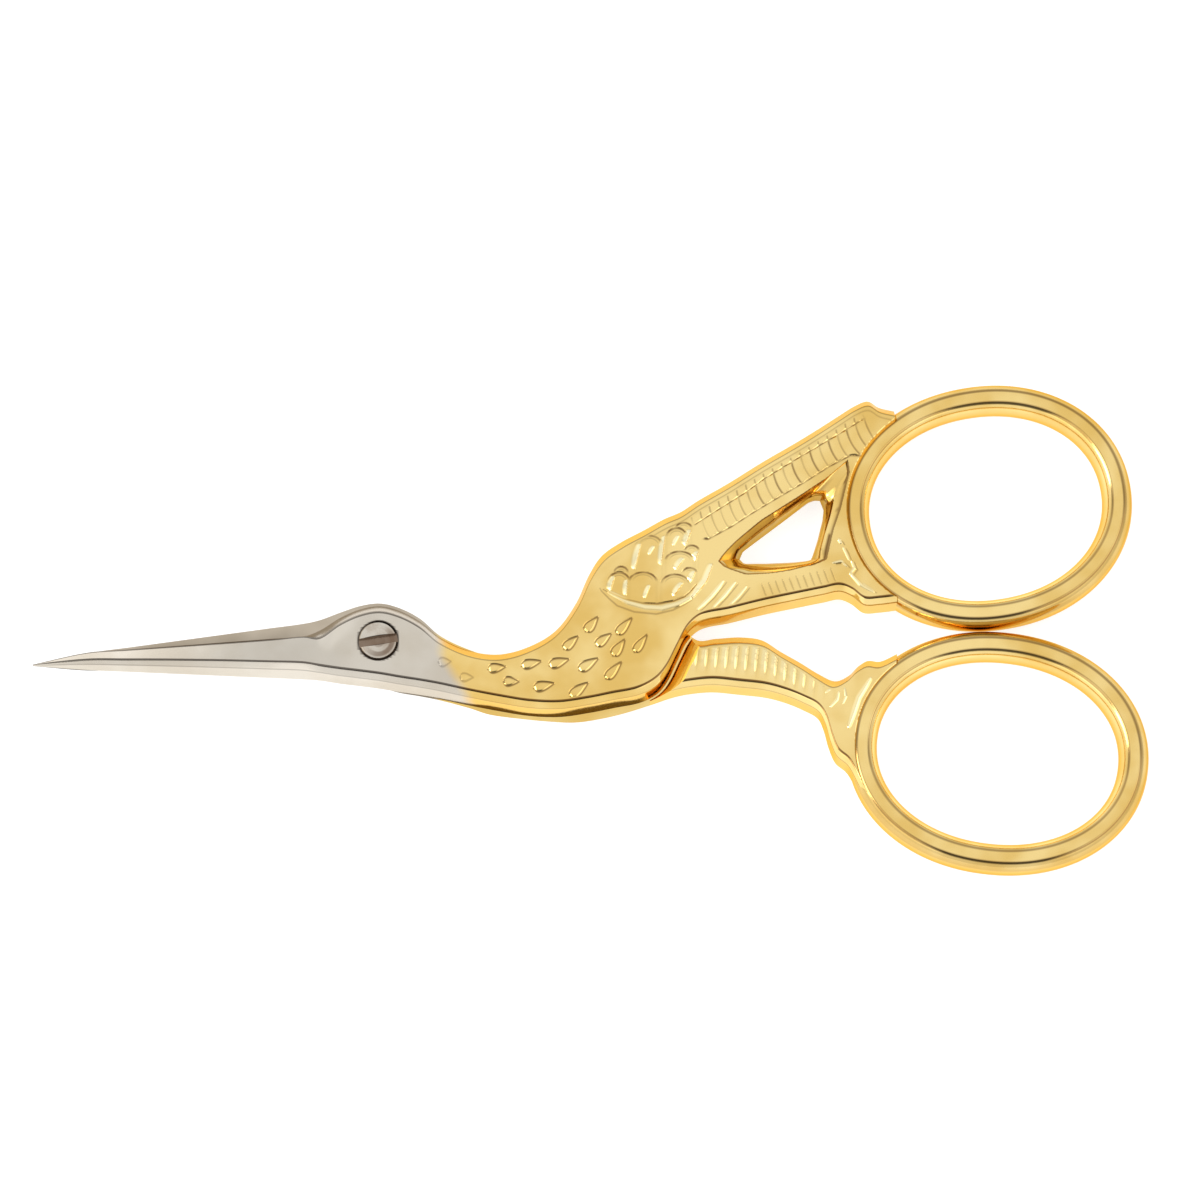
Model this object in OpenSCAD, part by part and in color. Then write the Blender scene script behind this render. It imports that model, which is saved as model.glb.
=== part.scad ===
// Stork embroidery scissors: two forged halves crossed on one slotted pivot screw.
// The closed pair lies on the plane z = 0. The pivot stands at the origin, the blades
// point along -X and the finger rings lie at +X.

/* [Blades] */
// Length of the blades from the pivot to the tips
blade_length = 27.6; // [20:0.1:45]
// Width of one blade towards the tip, before it runs out to a point
tip_width = 0.9; // [0.6:0.05:1.4]
// Width of one blade where it leaves the flat round the pivot
heel_width = 3.5; // [3:0.05:4]
// Thickness of one blade over its ridge towards the tip
tip_thickness = 0.7; // [0.4:0.05:1.2]

/* [Pivot] */
// Thickness of each half, from its outer face to the plane where the halves slide
half_thickness = 1.9; // [1.5:0.05:2.4]
// Gap between the halves where they slide
slide_gap = 0.06; // [0.02:0.01:0.12]
// Diameter of the plain screw shank
shank_diameter = 1.9; // [1.4:0.05:2.4]
// Clearance round the shank in the front half, on the radius
shank_clearance = 0.05; // [0.02:0.01:0.1]
// Diameter of the screw head
head_diameter = 3.1; // [2.6:0.05:3.8]
// Depth of the screw head in the front half
head_depth = 0.8; // [0.4:0.05:1]
// Clearance round the screw head, on the radius
head_clearance = 0.07; // [0.03:0.01:0.15]
// Height of the domed top of the screw head above the front face
head_dome = 0.15; // [0.02:0.01:0.3]
// Width of the screwdriver slot
slot_width = 0.7; // [0.4:0.05:1]
// Depth of the screwdriver slot
slot_depth = 0.45; // [0.2:0.05:0.7]
// Turn of the slot from the length of the scissors
slot_angle = 9; // [0:1:180]

/* [Handles] */
// Distance of the neck's end from the pivot
neck_length = 9.7; // [8.5:0.1:12]
// How far the outer face stands back from the outline on the wing's side
upper_bevel = 0.8; // [0.4:0.05:0.9]
// How far the outer face stands back from the outline on the breast's side
lower_bevel = 0.9; // [0.5:0.05:1.1]
// Clearance between the halves where one steps past the other
step_clearance = 0.15; // [0.08:0.01:0.3]
// Slope of the walls of the triangular opening: how far its rim stands back
opening_bevel = 0.9; // [0.4:0.05:1.1]

/* [Finger rings] */
// Centre of the front half's ring from the pivot, along the scissors
front_ring_x = 48.6; // [46:0.1:54]
// Centre of the front half's ring from the pivot, across the scissors
front_ring_y = 11.2; // [11.2:0.1:12.6]
// Length of the hole in the front half's ring
front_hole_length = 18.7; // [17:0.1:20]
// Width of the hole in the front half's ring
front_hole_width = 15.1; // [13.5:0.1:15.1]
// Turn of the front half's ring
front_ring_turn = 9.8; // [0:0.1:15]
// Centre of the back half's ring from the pivot, along the scissors
back_ring_x = 49.3; // [47:0.1:54]
// Centre of the back half's ring from the pivot, across the scissors
back_ring_y = -8.8; // [-10.3:0.1:-8.8]
// Length of the hole in the back half's ring
back_hole_length = 19.2; // [17:0.1:20.5]
// Width of the hole in the back half's ring
back_hole_width = 14.7; // [13:0.1:14.7]
// Turn of the back half's ring
back_ring_turn = -6.8; // [-15:0.1:0]
// Width of the ring's metal, seen from the front
ring_width = 2.45; // [1.8:0.05:2.45]
// Fullness of the ring's oval: 2 for an ellipse, more for squarer shoulders
ring_fullness = 2.08; // [2:0.01:2.2]
// Height of the ring's metal, from back to front
ring_height = 3.3; // [2.4:0.05:3.8]

/* [Hidden] */
$fn = 64;
// Plane where the halves slide on each other, and the inner face of each half beside it
slide_z = half_thickness;
front_z = slide_z + slide_gap / 2;
back_z = slide_z - slide_gap / 2;
front_face = 2 * half_thickness;
// Depth of one half's metal, from its inner face to its outer face
depth = half_thickness - slide_gap / 2;
// How far wing and leg reach past the sliding plane
far_depth = ring_height / 2 + slide_gap / 2;
// Where the blade ends and the flat round the pivot starts
heel_x = -6;
// Height of the land behind the cutting edge
edge_land = 0.2;
// Both tips lie here across the scissors
tip_y = -1.65;
// Back edge of each blade at the heel and at the tip, across the scissors
front_blade_back = [-2.8, -1.85];
back_blade_back = [1.75, -1.25];
// Where a blade's sections lie, as shares of its length from the heel: past the last one the
// blade narrows to its point
blade_shares = [0.8, 0.65, 0.5, 0.3, 0.12, 0];
// Blade: height of its ridge at the heel as a share of the depth, and the ridge's place as a share
// of the width, at the heel and how much more at the tip
heel_height = 0.97;
blade_ridge = 0.42;
blade_ridge_more = 0.1;
// The line pressed along a blade's outer bevel: shares of the bevel's width and of its height
blade_line = [0.55, 0.75];
// The same line along a handle
handle_line = [0.45, 0.66];
// Height of the flat's edge beside the blade, where the hollow grinding runs out
heel_hollow = 0.55;
// Clearance under the screw's head, and height of its rim under the front face
head_seat = 0.03;
head_drop = 0.08;
// How far a cutting shape reaches past the metal
past = 1;
// Steps between two sections, and places round a ring
steps = 4;
ring_steps = 56;

// Flat round the pivot and neck of the front half: place along, wing's side, breast's side
front_flat = [
    [-4.7, 1.19, -2.9], [-3.1, 2.21, -3.15], [-1.5, 2.9, -3.35], [0.1, 3.15, -3.56],
    [1.7, 2.74, -3.84], [3.3, 1.88, -4.09], [4.9, 0.57, -4.38], [7.3, -0.5, -4.91]
];
// The same of the back half
back_flat = [
    [-4.7, 2.05, -2.4], [-3.1, 2.66, -2.75], [-1.5, 3.2, -3.1], [0.1, 3.4, -3.45],
    [1.7, 2.99, -3.89], [3.3, 2.13, -4.17], [4.9, 0.74, -4.5], [7.3, -0.41, -5.15]
];
// Handle of the front half in pairs of places, wing's side then breast's side. Each place is a
// share of the way from the neck's end to the ring's centre, and millimetres left of that line.
front_handle = [
    [0.018, 2.1, -0.021, -2.2], [0.077, 1.9, 0.031, -3.4], [0.135, 2.4, 0.085, -4.3],
    [0.189, 3.9, 0.142, -4.8], [0.234, 5.8, 0.19, -5.1], [0.27, 6.9, 0.239, -5.4],
    [0.313, 7.4, 0.276, -5.2], [0.363, 7.7, 0.304, -4.5], [0.407, 8, 0.336, -3.2],
    [0.443, 8.1, 0.367, -2], [0.483, 8.5, 0.4, -1.5], [0.549, 9, 0.455, -1.8],
    [0.626, 9.7, 0.524, -2.1], [0.703, 10.3, 0.592, -2.5], [0.759, 10.8, 0.641, -2.8],
    [0.8, 11.2, 0.67, -3], [0.833, 11.5, 0.689, -3.7], [0.86, 11.5, 0.705, -4.7],
    [0.876, 10.7, 0.734, -5.1], [0.901, 10, 0.766, -5.4]
];
// Handle of the back half: neck and shoulder under the bird's body, then the leg
back_handle = [
    [-0.029, 2.3, -0.013, -2.5], [0.029, 3, 0.048, -2.5], [0.075, 4.1, 0.108, -2.4],
    [0.112, 5.2, 0.158, -2.2], [0.155, 7.4, 0.206, -1.65], [0.22, 8.9, 0.254, -0.9],
    [0.282, 8.4, 0.301, 0], [0.334, 6.9, 0.343, 0.85], [0.376, 5.8, 0.377, 1.35],
    [0.412, 6.1, 0.421, 1.75], [0.461, 6.5, 0.476, 1.85], [0.505, 6.5, 0.527, 1.9],
    [0.544, 5.8, 0.568, 1.7], [0.587, 5.1, 0.606, 1.3], [0.626, 4.4, 0.636, 0.8],
    [0.66, 4, 0.651, -0.1], [0.686, 4.6, 0.666, -1.5], [0.701, 5.4, 0.683, -2.6],
    [0.719, 6, 0.709, -3.3], [0.745, 6.1, 0.74, -5], [0.776, 6.9, 0.774, -6.6]
];
// Corners of the triangular opening between wing and leg, at the sliding plane
wing_opening = [[0.516, 2.6], [0.71, 5.45], [0.645, 0.7]];
// Section of each handle where the far side of wing or leg starts
front_far_start = 5;
back_far_start = 6;
// How far the far side of wing or leg is rooted in the rest of its half
far_root = 0.3;

front_neck_end = [neck_length, -3];
back_neck_end = [neck_length, -3.25];
front_ring_at = [front_ring_x, front_ring_y];
back_ring_at = [back_ring_x, back_ring_y];
front_hole = [front_hole_length, front_hole_width];
back_hole = [back_hole_length, back_hole_width];

// Smooth curve through a list of rows, paced by the distance between their two places
function span(a, b) = norm([for (i = [0 : 3]) b[i] - a[i]]);
function slope(p, i) = (p[i + 1] - p[i]) / span(p[i], p[i + 1]);
function tangent(p, i) =
    i == 0 ? slope(p, 0)
    : i == len(p) - 1 ? slope(p, i - 1)
    : (p[i + 1] - p[i - 1]) / (span(p[i - 1], p[i]) + span(p[i], p[i + 1]));
function hermite(a, b, from_a, to_b, t) =
    (2 * t ^ 3 - 3 * t ^ 2 + 1) * a + (t ^ 3 - 2 * t ^ 2 + t) * from_a
    + (3 * t ^ 2 - 2 * t ^ 3) * b + (t ^ 3 - t ^ 2) * to_b;
function smooth(p) = [
    for (i = [0 : len(p) - 2])
    let (far = span(p[i], p[i + 1]))
    for (k = [0 : i == len(p) - 2 ? steps : steps - 1])
    hermite(p[i], p[i + 1], tangent(p, i) * far, tangent(p, i + 1) * far, k / steps)
];

// Place on a handle from its share of the way to the ring and its distance beside that line
function on_handle(share, beside, neck, ring) =
    let (along = ring - neck, across = [-along.y, along.x] / norm(along))
    neck + along * share + across * beside;
function handle_pairs(handle, neck, ring) = [
    for (h = handle) concat(on_handle(h[0], h[1], neck, ring), on_handle(h[2], h[3], neck, ring))
];
function flat_pairs(flat) = [for (f = flat) [f[0], f[1], f[0], f[2]]];

// Pairs of places on the two sides of each half, from the flat to the ring
front_pairs = concat(
    flat_pairs(front_flat),
    handle_pairs(front_handle, front_neck_end, front_ring_at)
);
back_pairs = concat(
    flat_pairs(back_flat),
    handle_pairs(back_handle, back_neck_end, back_ring_at)
);

// One section: its two sides, then how far the face's first edge, the ridge and the line below
// the ridge stand in from their sides, each with its height over the sliding plane
function section(pair, face_in, face_up, ridge_in, ridge_up, line_in, line_up) =
    concat(pair, [face_in, face_up, ridge_in, ridge_up, line_in, line_up]);
function plate_section(pair, height, face_share = 1) =
    section(
        pair, upper_bevel, height * face_share, lower_bevel, height,
        lower_bevel * handle_line.x, height * handle_line.y
    );
// Section of a blade at a share of its length, 0 at the heel and 1 at the tip
function blade_section(share, back_edge, side) =
    let (x = heel_x - (blade_length + heel_x) * share)
    let (low = back_edge[0] + (back_edge[1] - back_edge[0]) * share)
    let (width = heel_width + (tip_width - heel_width) * share)
    let (heel_up = heel_height * depth, up = heel_up + (tip_thickness - heel_up) * share)
    let (ridge_in = width * (blade_ridge + blade_ridge_more * share))
    section(
        [x, low + side * width, x, low], width * 0.04, edge_land,
        ridge_in, up, ridge_in * blade_line.x, up * blade_line.y
    );
function tip_section(side) =
    section(
        [-blade_length, tip_y + side * 0.06, -blade_length, tip_y - side * 0.06],
        0.01, 0.12, 0.05, 0.18, 0.02, 0.12
    );
// Sections of a whole half, from the tip to the ring
function half_sections(back_edge, side, pairs) = concat(
    [tip_section(side)],
    [for (share = blade_shares) blade_section(share, back_edge, side)],
    [for (p = pairs) plate_section(p, depth, p[0] < -4 ? heel_hollow : 1)]
);
// Pairs of the other way round: the far side faces the other way
function swapped(pairs) = [for (p = pairs) [p[2], p[3], p[0], p[1]]];
// Row seen from behind: the lengths across change sign
function turned(row) = [
    for (i = [0 : len(row) - 1]) i == 1 || i == 3 ? -row[i] : row[i]
];
function part_of(list, start) = [for (i = [start : len(list) - 1]) list[i]];

// Skin over rows of points that all have the same number of points, closed at both ends or
// looped onto itself
module skin(rows, looped = false) {
    n = len(rows[0]);
    m = len(rows);
    sides = [
        for (i = [0 : looped ? m - 1 : m - 2])
        for (k = [0 : n - 1])
        let (a = i * n + k, b = i * n + (k + 1) % n)
        let (c = ((i + 1) % m) * n + (k + 1) % n, d = ((i + 1) % m) * n + k)
        each [[a, b, c], [a, c, d]]
    ];
    ends = looped ? [] : [
        for (k = [1 : n - 2])
        each [[0, k + 1, k], [(m - 1) * n, (m - 1) * n + k, (m - 1) * n + k + 1]]
    ];
    polyhedron(points = [for (r = rows) each r], faces = concat(sides, ends), convexity = 6);
}

// Solid through a list of sections, standing on the sliding plane; with a root it also reaches
// that far under the plane, into the metal it belongs to, standing in from both sides
module loft(sections, root = 0) {
    top = max([for (s = sections) s[7]]);
    skin([
        for (s = smooth(sections))
        let (a = [s[0], s[1]], b = [s[2], s[3]], inward = (b - a) / norm(b - a))
        let (face = a + inward * s[4], ridge = b - inward * s[6], line = b - inward * s[8])
        let (root_a = a + inward * root * 1.5, root_b = b - inward * root * 1.5)
        concat(
            [
                [b.x, b.y, 0],
                [line.x, line.y, s[9]],
                [ridge.x, ridge.y, min(s[7], top)],
                [face.x, face.y, min(s[5], top)],
                [a.x, a.y, 0]
            ],
            root > 0 ? [[root_a.x, root_a.y, -root], [root_b.x, root_b.y, -root]] : []
        )
    ]);
}

// Plan of a half between its two sides
module plan(pairs) {
    rows = smooth(pairs);
    polygon(concat(
        [for (r = rows) [r[0], r[1]]],
        [for (i = [len(rows) - 1 : -1 : 0]) [rows[i][2], rows[i][3]]]
    ));
}

// Point on a ring: out is the distance from the middle of its metal
function ring_point(at, hole, turn, angle, out = 0) =
    let (a = (hole.x + ring_width) / 2, b = (hole.y + ring_width) / 2)
    let (u = pow(abs(cos(angle)), 2 / ring_fullness) * sign(cos(angle)))
    let (v = pow(abs(sin(angle)), 2 / ring_fullness) * sign(sin(angle)))
    let (steep = ring_fullness - 1)
    let (outward = [b * pow(abs(u), steep) * sign(u), a * pow(abs(v), steep) * sign(v)])
    let (p = [a * u, b * v] + outward / norm(outward) * out)
    at + [p.x * cos(turn) - p.y * sin(turn), p.x * sin(turn) + p.y * cos(turn)];

// Finger ring: a section with a flat on each face and rounded walls, swept round an oval
module ring(at, hole, turn) {
    quarter = [[1, 0], [0.93, 0.4], [0.7, 0.8], [0.32, 1]];
    half = concat(quarter, [for (k = [3 : -1 : 1]) [-quarter[k].x, quarter[k].y]]);
    whole = concat(half, [for (h = half) -h]);
    skin([
        for (i = [0 : ring_steps - 1])
        [
            for (w = whole)
            let (out = w.x * ring_width / 2, up = w.y * ring_height / 2)
            concat(ring_point(at, hole, turn, i * 360 / ring_steps, out), [slide_z + up])
        ]
    ], looped = true);
}

// Space inside a ring, up to the middle of its metal, which the handle must not enter
module ring_space(at, hole, turn) {
    translate([0, 0, -past]) linear_extrude(front_face + 2 * past)
        polygon([for (i = [0 : 2 : ring_steps - 1]) ring_point(at, hole, turn, i * 360 / ring_steps)]);
}

// Triangular opening between wing and leg, wider at both faces than in the middle
module triangle_opening() {
    corners = [for (c = wing_opening) on_handle(c[0], c[1], front_neck_end, front_ring_at)];
    centre = (corners[0] + corners[1] + corners[2]) / 3;
    spread = 1 + opening_bevel / 1.6;
    rim = [for (c = corners) centre + (c - centre) * spread];
    reach = half_thickness + past * 0.1;
    skin([
        [for (c = rim) [c.x, c.y, slide_z - reach]],
        [for (c = corners) [c.x, c.y, slide_z]],
        [for (c = rim) [c.x, c.y, slide_z + reach]]
    ]);
}

module front_half() color("goldenrod") {
    sections = half_sections(front_blade_back, 1, front_pairs);
    far = [for (p = swapped(part_of(front_pairs, len(front_flat) + front_far_start)))
        turned(plate_section(p, far_depth))];
    difference() {
        union() {
            translate([0, 0, front_z]) loft(sections);
            // Far side of wing and leg, stopped short of the back half's shoulder
            difference() {
                translate([0, 0, front_z]) rotate([180, 0, 0]) loft(far, far_root);
                translate([0, 0, -past]) linear_extrude(front_z + past)
                    offset(delta = step_clearance) plan(back_pairs);
            }
        }
        ring_space(front_ring_at, front_hole, front_ring_turn);
        triangle_opening();
        cylinder(d = shank_diameter + 2 * shank_clearance, h = front_face + past);
        translate([0, 0, front_face - head_depth])
            cylinder(d = head_diameter + 2 * head_clearance, h = head_depth + past);
    }
    ring(front_ring_at, front_hole, front_ring_turn);
}

module back_half() color("goldenrod") {
    sections = [for (s = half_sections(back_blade_back, -1, swapped(back_pairs))) turned(s)];
    far = [for (p = part_of(back_pairs, len(back_flat) + back_far_start))
        plate_section(p, far_depth)];
    difference() {
        union() {
            translate([0, 0, back_z]) rotate([180, 0, 0]) loft(sections);
            // Leg, stepped up beside the front half's breast
            difference() {
                translate([0, 0, back_z]) loft(far, far_root);
                translate([0, 0, back_z]) linear_extrude(front_face)
                    offset(delta = step_clearance) plan(front_pairs);
            }
        }
        ring_space(back_ring_at, back_hole, back_ring_turn);
        translate([0, 0, -past]) cylinder(d = shank_diameter, h = front_face + 2 * past);
    }
    ring(back_ring_at, back_hole, back_ring_turn);
}

// Slotted screw: domed head sunk in the front half, shank held in the back half
module pivot_screw() color("lightgrey") {
    head_floor = front_face - head_depth + head_seat;
    edge_z = front_face - head_drop;
    radius = head_diameter / 2;
    difference() {
        union() {
            cylinder(d = shank_diameter, h = head_floor + head_drop);
            translate([0, 0, head_floor]) cylinder(r = radius, h = edge_z - head_floor);
            rotate_extrude() polygon(concat(
                [[0, head_floor + head_drop], [radius, edge_z]],
                [for (a = [10 : 10 : 90])
                    [radius * cos(a), edge_z + (head_dome + head_drop) * sin(a)]]
            ));
        }
        rotate([0, 0, slot_angle])
            translate([-radius - past, -slot_width / 2, front_face - slot_depth])
            cube([2 * (radius + past), slot_width, slot_depth + past]);
    }
}

front_half();
back_half();
pivot_screw();
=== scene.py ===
"""Looks of the stork embroidery scissors: two dense forged halves with their relief, and the
slotted pivot screw, on a pale floor. Shapes are worked out in millimetres and built in metres."""

import math

import bmesh
import bpy
import numpy as np
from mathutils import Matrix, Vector


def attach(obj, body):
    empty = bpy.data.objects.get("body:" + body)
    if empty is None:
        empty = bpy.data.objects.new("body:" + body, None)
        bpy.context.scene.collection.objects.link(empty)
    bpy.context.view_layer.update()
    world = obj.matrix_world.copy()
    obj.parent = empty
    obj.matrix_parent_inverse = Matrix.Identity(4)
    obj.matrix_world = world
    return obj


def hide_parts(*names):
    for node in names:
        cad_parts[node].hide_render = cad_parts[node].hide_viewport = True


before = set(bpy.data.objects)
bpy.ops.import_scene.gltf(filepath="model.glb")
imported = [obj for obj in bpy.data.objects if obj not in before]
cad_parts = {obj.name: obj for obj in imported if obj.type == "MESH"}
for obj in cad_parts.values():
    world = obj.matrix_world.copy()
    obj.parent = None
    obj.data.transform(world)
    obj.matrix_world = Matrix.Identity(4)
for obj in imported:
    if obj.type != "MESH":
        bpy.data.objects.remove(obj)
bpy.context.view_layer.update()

MM = 0.001

# Sizes of the solids, in millimetres
BLADE_LENGTH = 27.6
TIP_WIDTH = 0.9
HEEL_WIDTH = 3.5
TIP_THICKNESS = 0.7
HALF_THICKNESS = 1.9
SLIDE_GAP = 0.06
SHANK_DIAMETER = 1.9
HEAD_DIAMETER = 3.1
HEAD_DEPTH = 0.8
HEAD_CLEARANCE = 0.07
HEAD_DOME = 0.15
SLOT_WIDTH = 0.7
SLOT_DEPTH = 0.45
SLOT_ANGLE = 9
NECK_LENGTH = 9.7
UPPER_BEVEL = 0.8
LOWER_BEVEL = 0.9
# The line along a lower bevel: share of the bevel's width in, and of the height up
HANDLE_LINE = (0.42, 0.74)
BLADE_LINE = (0.5, 0.64)
# Place along the flat, and the height of the face's edge there as a share
HEEL_RISE = (
    (-9.5, 0.11), (-8, 0.2), (-6, 0.36), (-4.7, 0.5), (-3.1, 0.67), (-1.5, 0.82), (0.1, 0.93),
    (1.7, 0.98), (3.3, 1),
)
# How far in a blade's ridge runs, as a share of its width: at the heel, and what the tip adds
BLADE_RIDGE = (0.29, 0.23)
BLADE_EDGE = 0.04
HEEL_SHARE = 0.97
STEP_CLEARANCE = 0.15
# The step's side: share of the way from the inner face out, and how far it stands back there
STEP_PROFILE = (
    (0, 0), (0.12, 0.02), (0.3, 0.14), (0.45, 0.34), (0.58, 0.62), (0.78, 1.06), (1, 1.55),
)
RING_WIDTH = 2.45
RING_FULLNESS = 2.08
RING_HEIGHT = 3.3
FRONT_RING = {"at": (48.6, 11.2), "hole": (18.7, 15.1), "turn": 9.8}
BACK_RING = {"at": (49.3, -8.8), "hole": (19.2, 14.7), "turn": -6.8}

SLIDE_Z = HALF_THICKNESS
FRONT_Z = SLIDE_Z + SLIDE_GAP / 2
BACK_Z = SLIDE_Z - SLIDE_GAP / 2
FACE_Z = 2 * HALF_THICKNESS
DEPTH = HALF_THICKNESS - SLIDE_GAP / 2
FAR_DEPTH = RING_HEIGHT / 2 + SLIDE_GAP / 2
HEEL_X = -6
BLADE_SHARES = (0.8, 0.65, 0.5, 0.3, 0.12, 0)
TIP_Y = -1.65
TIP_POINT = 0.06
TIP_EDGES = (0.01, 0.12, 0.05, 0.18, 0.02, 0.12)
FRONT_BLADE_BACK = (-2.8, -1.85)
BACK_BLADE_BACK = (1.75, -1.25)
FRONT_FAR_START = 5
BACK_FAR_START = 6

# Flat round the pivot and neck: place along, wing's side, breast's side
FRONT_FLAT = [
    (-4.7, 1.19, -2.9), (-3.1, 2.21, -3.15), (-1.5, 2.9, -3.35), (0.1, 3.15, -3.56),
    (1.7, 2.74, -3.84), (3.3, 1.88, -4.09), (4.9, 0.57, -4.38), (7.3, -0.5, -4.91),
]
BACK_FLAT = [
    (-4.7, 2.05, -2.4), (-3.1, 2.66, -2.75), (-1.5, 3.2, -3.1), (0.1, 3.4, -3.45),
    (1.7, 2.99, -3.89), (3.3, 2.13, -4.17), (4.9, 0.74, -4.5), (7.3, -0.41, -5.15),
]
# Handles in pairs of places, each a share of the way to the ring and millimetres beside it
FRONT_HANDLE = [
    (0.018, 2.1, -0.021, -2.2), (0.077, 1.9, 0.031, -3.4), (0.135, 2.4, 0.085, -4.3),
    (0.189, 3.9, 0.142, -4.8), (0.234, 5.8, 0.19, -5.1), (0.27, 6.9, 0.239, -5.4),
    (0.313, 7.4, 0.276, -5.2), (0.363, 7.7, 0.304, -4.5), (0.407, 8, 0.336, -3.2),
    (0.443, 8.1, 0.367, -2), (0.483, 8.5, 0.4, -1.5), (0.549, 9, 0.455, -1.8),
    (0.626, 9.7, 0.524, -2.1), (0.703, 10.3, 0.592, -2.5), (0.759, 10.8, 0.641, -2.8),
    (0.8, 11.2, 0.67, -3), (0.833, 11.5, 0.689, -3.7), (0.86, 11.5, 0.705, -4.7),
    (0.876, 10.7, 0.734, -5.1), (0.901, 10, 0.766, -5.4),
]
BACK_HANDLE = [
    (-0.029, 2.3, -0.013, -2.5), (0.029, 3, 0.048, -2.5), (0.075, 4.1, 0.108, -2.4),
    (0.112, 5.2, 0.158, -2.2), (0.155, 7.4, 0.206, -1.65), (0.22, 8.9, 0.254, -0.9),
    (0.282, 8.4, 0.301, 0), (0.334, 6.9, 0.343, 0.85), (0.376, 5.8, 0.377, 1.35),
    (0.412, 6.1, 0.421, 1.75), (0.461, 6.5, 0.476, 1.85), (0.505, 6.5, 0.527, 1.9),
    (0.544, 5.8, 0.568, 1.7), (0.587, 5.1, 0.606, 1.3), (0.626, 4.4, 0.636, 0.8),
    (0.66, 4, 0.651, -0.1), (0.686, 4.6, 0.666, -1.5), (0.701, 5.4, 0.683, -2.6),
    (0.719, 6, 0.709, -3.3), (0.745, 6.1, 0.74, -5), (0.776, 6.9, 0.774, -6.6),
]
FRONT_NECK_END = (NECK_LENGTH, -3)
BACK_NECK_END = (NECK_LENGTH, -3.25)

# Spacing of a face's rows, wider up to PLAIN_UNTIL, and the number of its columns
ROW_GAP = 0.07
FAR_ROW_GAP = 0.12
PLAIN_ROW_GAP = 0.3
PLAIN_UNTIL = 3.0
FACE_COLUMNS = 200
FAR_COLUMNS = 90
PLAIN_COLUMNS = 24
# Columns on the walls and bevels between, and on each rounded corner
WALL_COLUMNS = 4
BEVEL_COLUMNS = 3
FACE_ROUND = 5
RIDGE_ROUND = 7
LINE_ROUND = 3
# Radius of the rounded corners at the face's edge, at its ridge and at the bevel's line
FACE_CORNER = 0.12
RIDGE_CORNER = 0.15
LINE_CORNER = 0.1
# How far the finer shapes stay inside the solids
SKIN = 0.015
# Highest relief over a face, and how far from the face's edges it fades in
RELIEF_LIMIT = 0.13
RELIEF_FADE = (0.1, 0.35)
# Name of the painted light that the mesh carries: painted shade up to 1 in a cut line, and below 0
# a painted highlight
PAINTED_LIGHT_NAME = "painted_light"
# Painted shade on the wall and the face's edge up to PLAIN_END, on the handle's edge and the
# bevel's line, and where the blade is painted dark
WALL_PAINTED_SHADE = 0.22
EDGE_PAINTED_SHADE = 0.9
HANDLE_EDGE_PAINTED_SHADE = 0.55
BEVEL_PAINTED_SHADE = 0.6
PLAIN_END = (6.0, 3.0)
BLADE_PAINTED_SHADE = (5.0, 7.5)
# Handle near its ring: its height there, how far from the ring it has its own again, and where
# its painted light fades back in
RING_MEETING_Z = 3.42
MEETING_REACH = 1.5
MEETING_MARGIN = 0.15
MEETING_RISE = (0.42, 0.85)
MEETING_PAINTED_LIGHT_FADE = (0.5, 0.9)

# Camera: tilt, and in metres its distance and nearest sight; lens and sensor in millimetres
CAMERA_TILT = math.radians(12)
CAMERA_REACH = 0.5
CAMERA_NEAR = 0.01
CAMERA_LENS = 187.5
CAMERA_SENSOR = 36.0
CAMERA_TARGET = Vector((17.66, 3.68, 1.9)) * MM


# Curves and sections


def handle_pairs(flat, handle, neck, ring):
    """Pairs of places on the two sides of a half, from the flat to the ring"""
    neck = np.array(neck, float)
    along = np.array(ring, float) - neck
    across = np.array((-along[1], along[0])) / np.hypot(*along)
    rows = [(x, a, x, b) for x, a, b in flat]
    for share_a, beside_a, share_b, beside_b in handle:
        a = neck + along * share_a + across * beside_a
        b = neck + along * share_b + across * beside_b
        rows.append((*a, *b))
    return np.array(rows, float)


def smooth(rows, gap, plain_gap=None):
    """The solids' own curve through rows of numbers, in rows about gap apart, or plain_gap on
    the blade and flat"""
    rows = np.array(rows, float)
    spans = np.linalg.norm(rows[1:, :4] - rows[:-1, :4], axis=1)
    slopes = (rows[1:] - rows[:-1]) / spans[:, None]
    tangents = np.empty_like(rows)
    tangents[0] = slopes[0]
    tangents[-1] = slopes[-1]
    tangents[1:-1] = (rows[2:] - rows[:-2]) / (spans[:-1] + spans[1:])[:, None]
    out = []
    for i, far in enumerate(spans):
        wanted = plain_gap if plain_gap and rows[i, 0] < PLAIN_UNTIL else gap
        count = max(2, math.ceil(far / wanted / 1.3))
        t = np.arange(count)[:, None] / count
        out.append(
            (2 * t**3 - 3 * t**2 + 1) * rows[i]
            + (t**3 - 2 * t**2 + t) * tangents[i] * far
            + (3 * t**2 - 2 * t**3) * rows[i + 1]
            + (t**3 - t**2) * tangents[i + 1] * far
        )
    out.append(rows[-1:])
    return np.vstack(out)


def plate_section(pair, height, face_share=1):
    """Section of a handle: its two sides, then the insets and heights of its three edges"""
    return (
        *pair, UPPER_BEVEL, height * face_share, LOWER_BEVEL, height,
        LOWER_BEVEL * HANDLE_LINE[0], height * HANDLE_LINE[1],
    )


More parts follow.
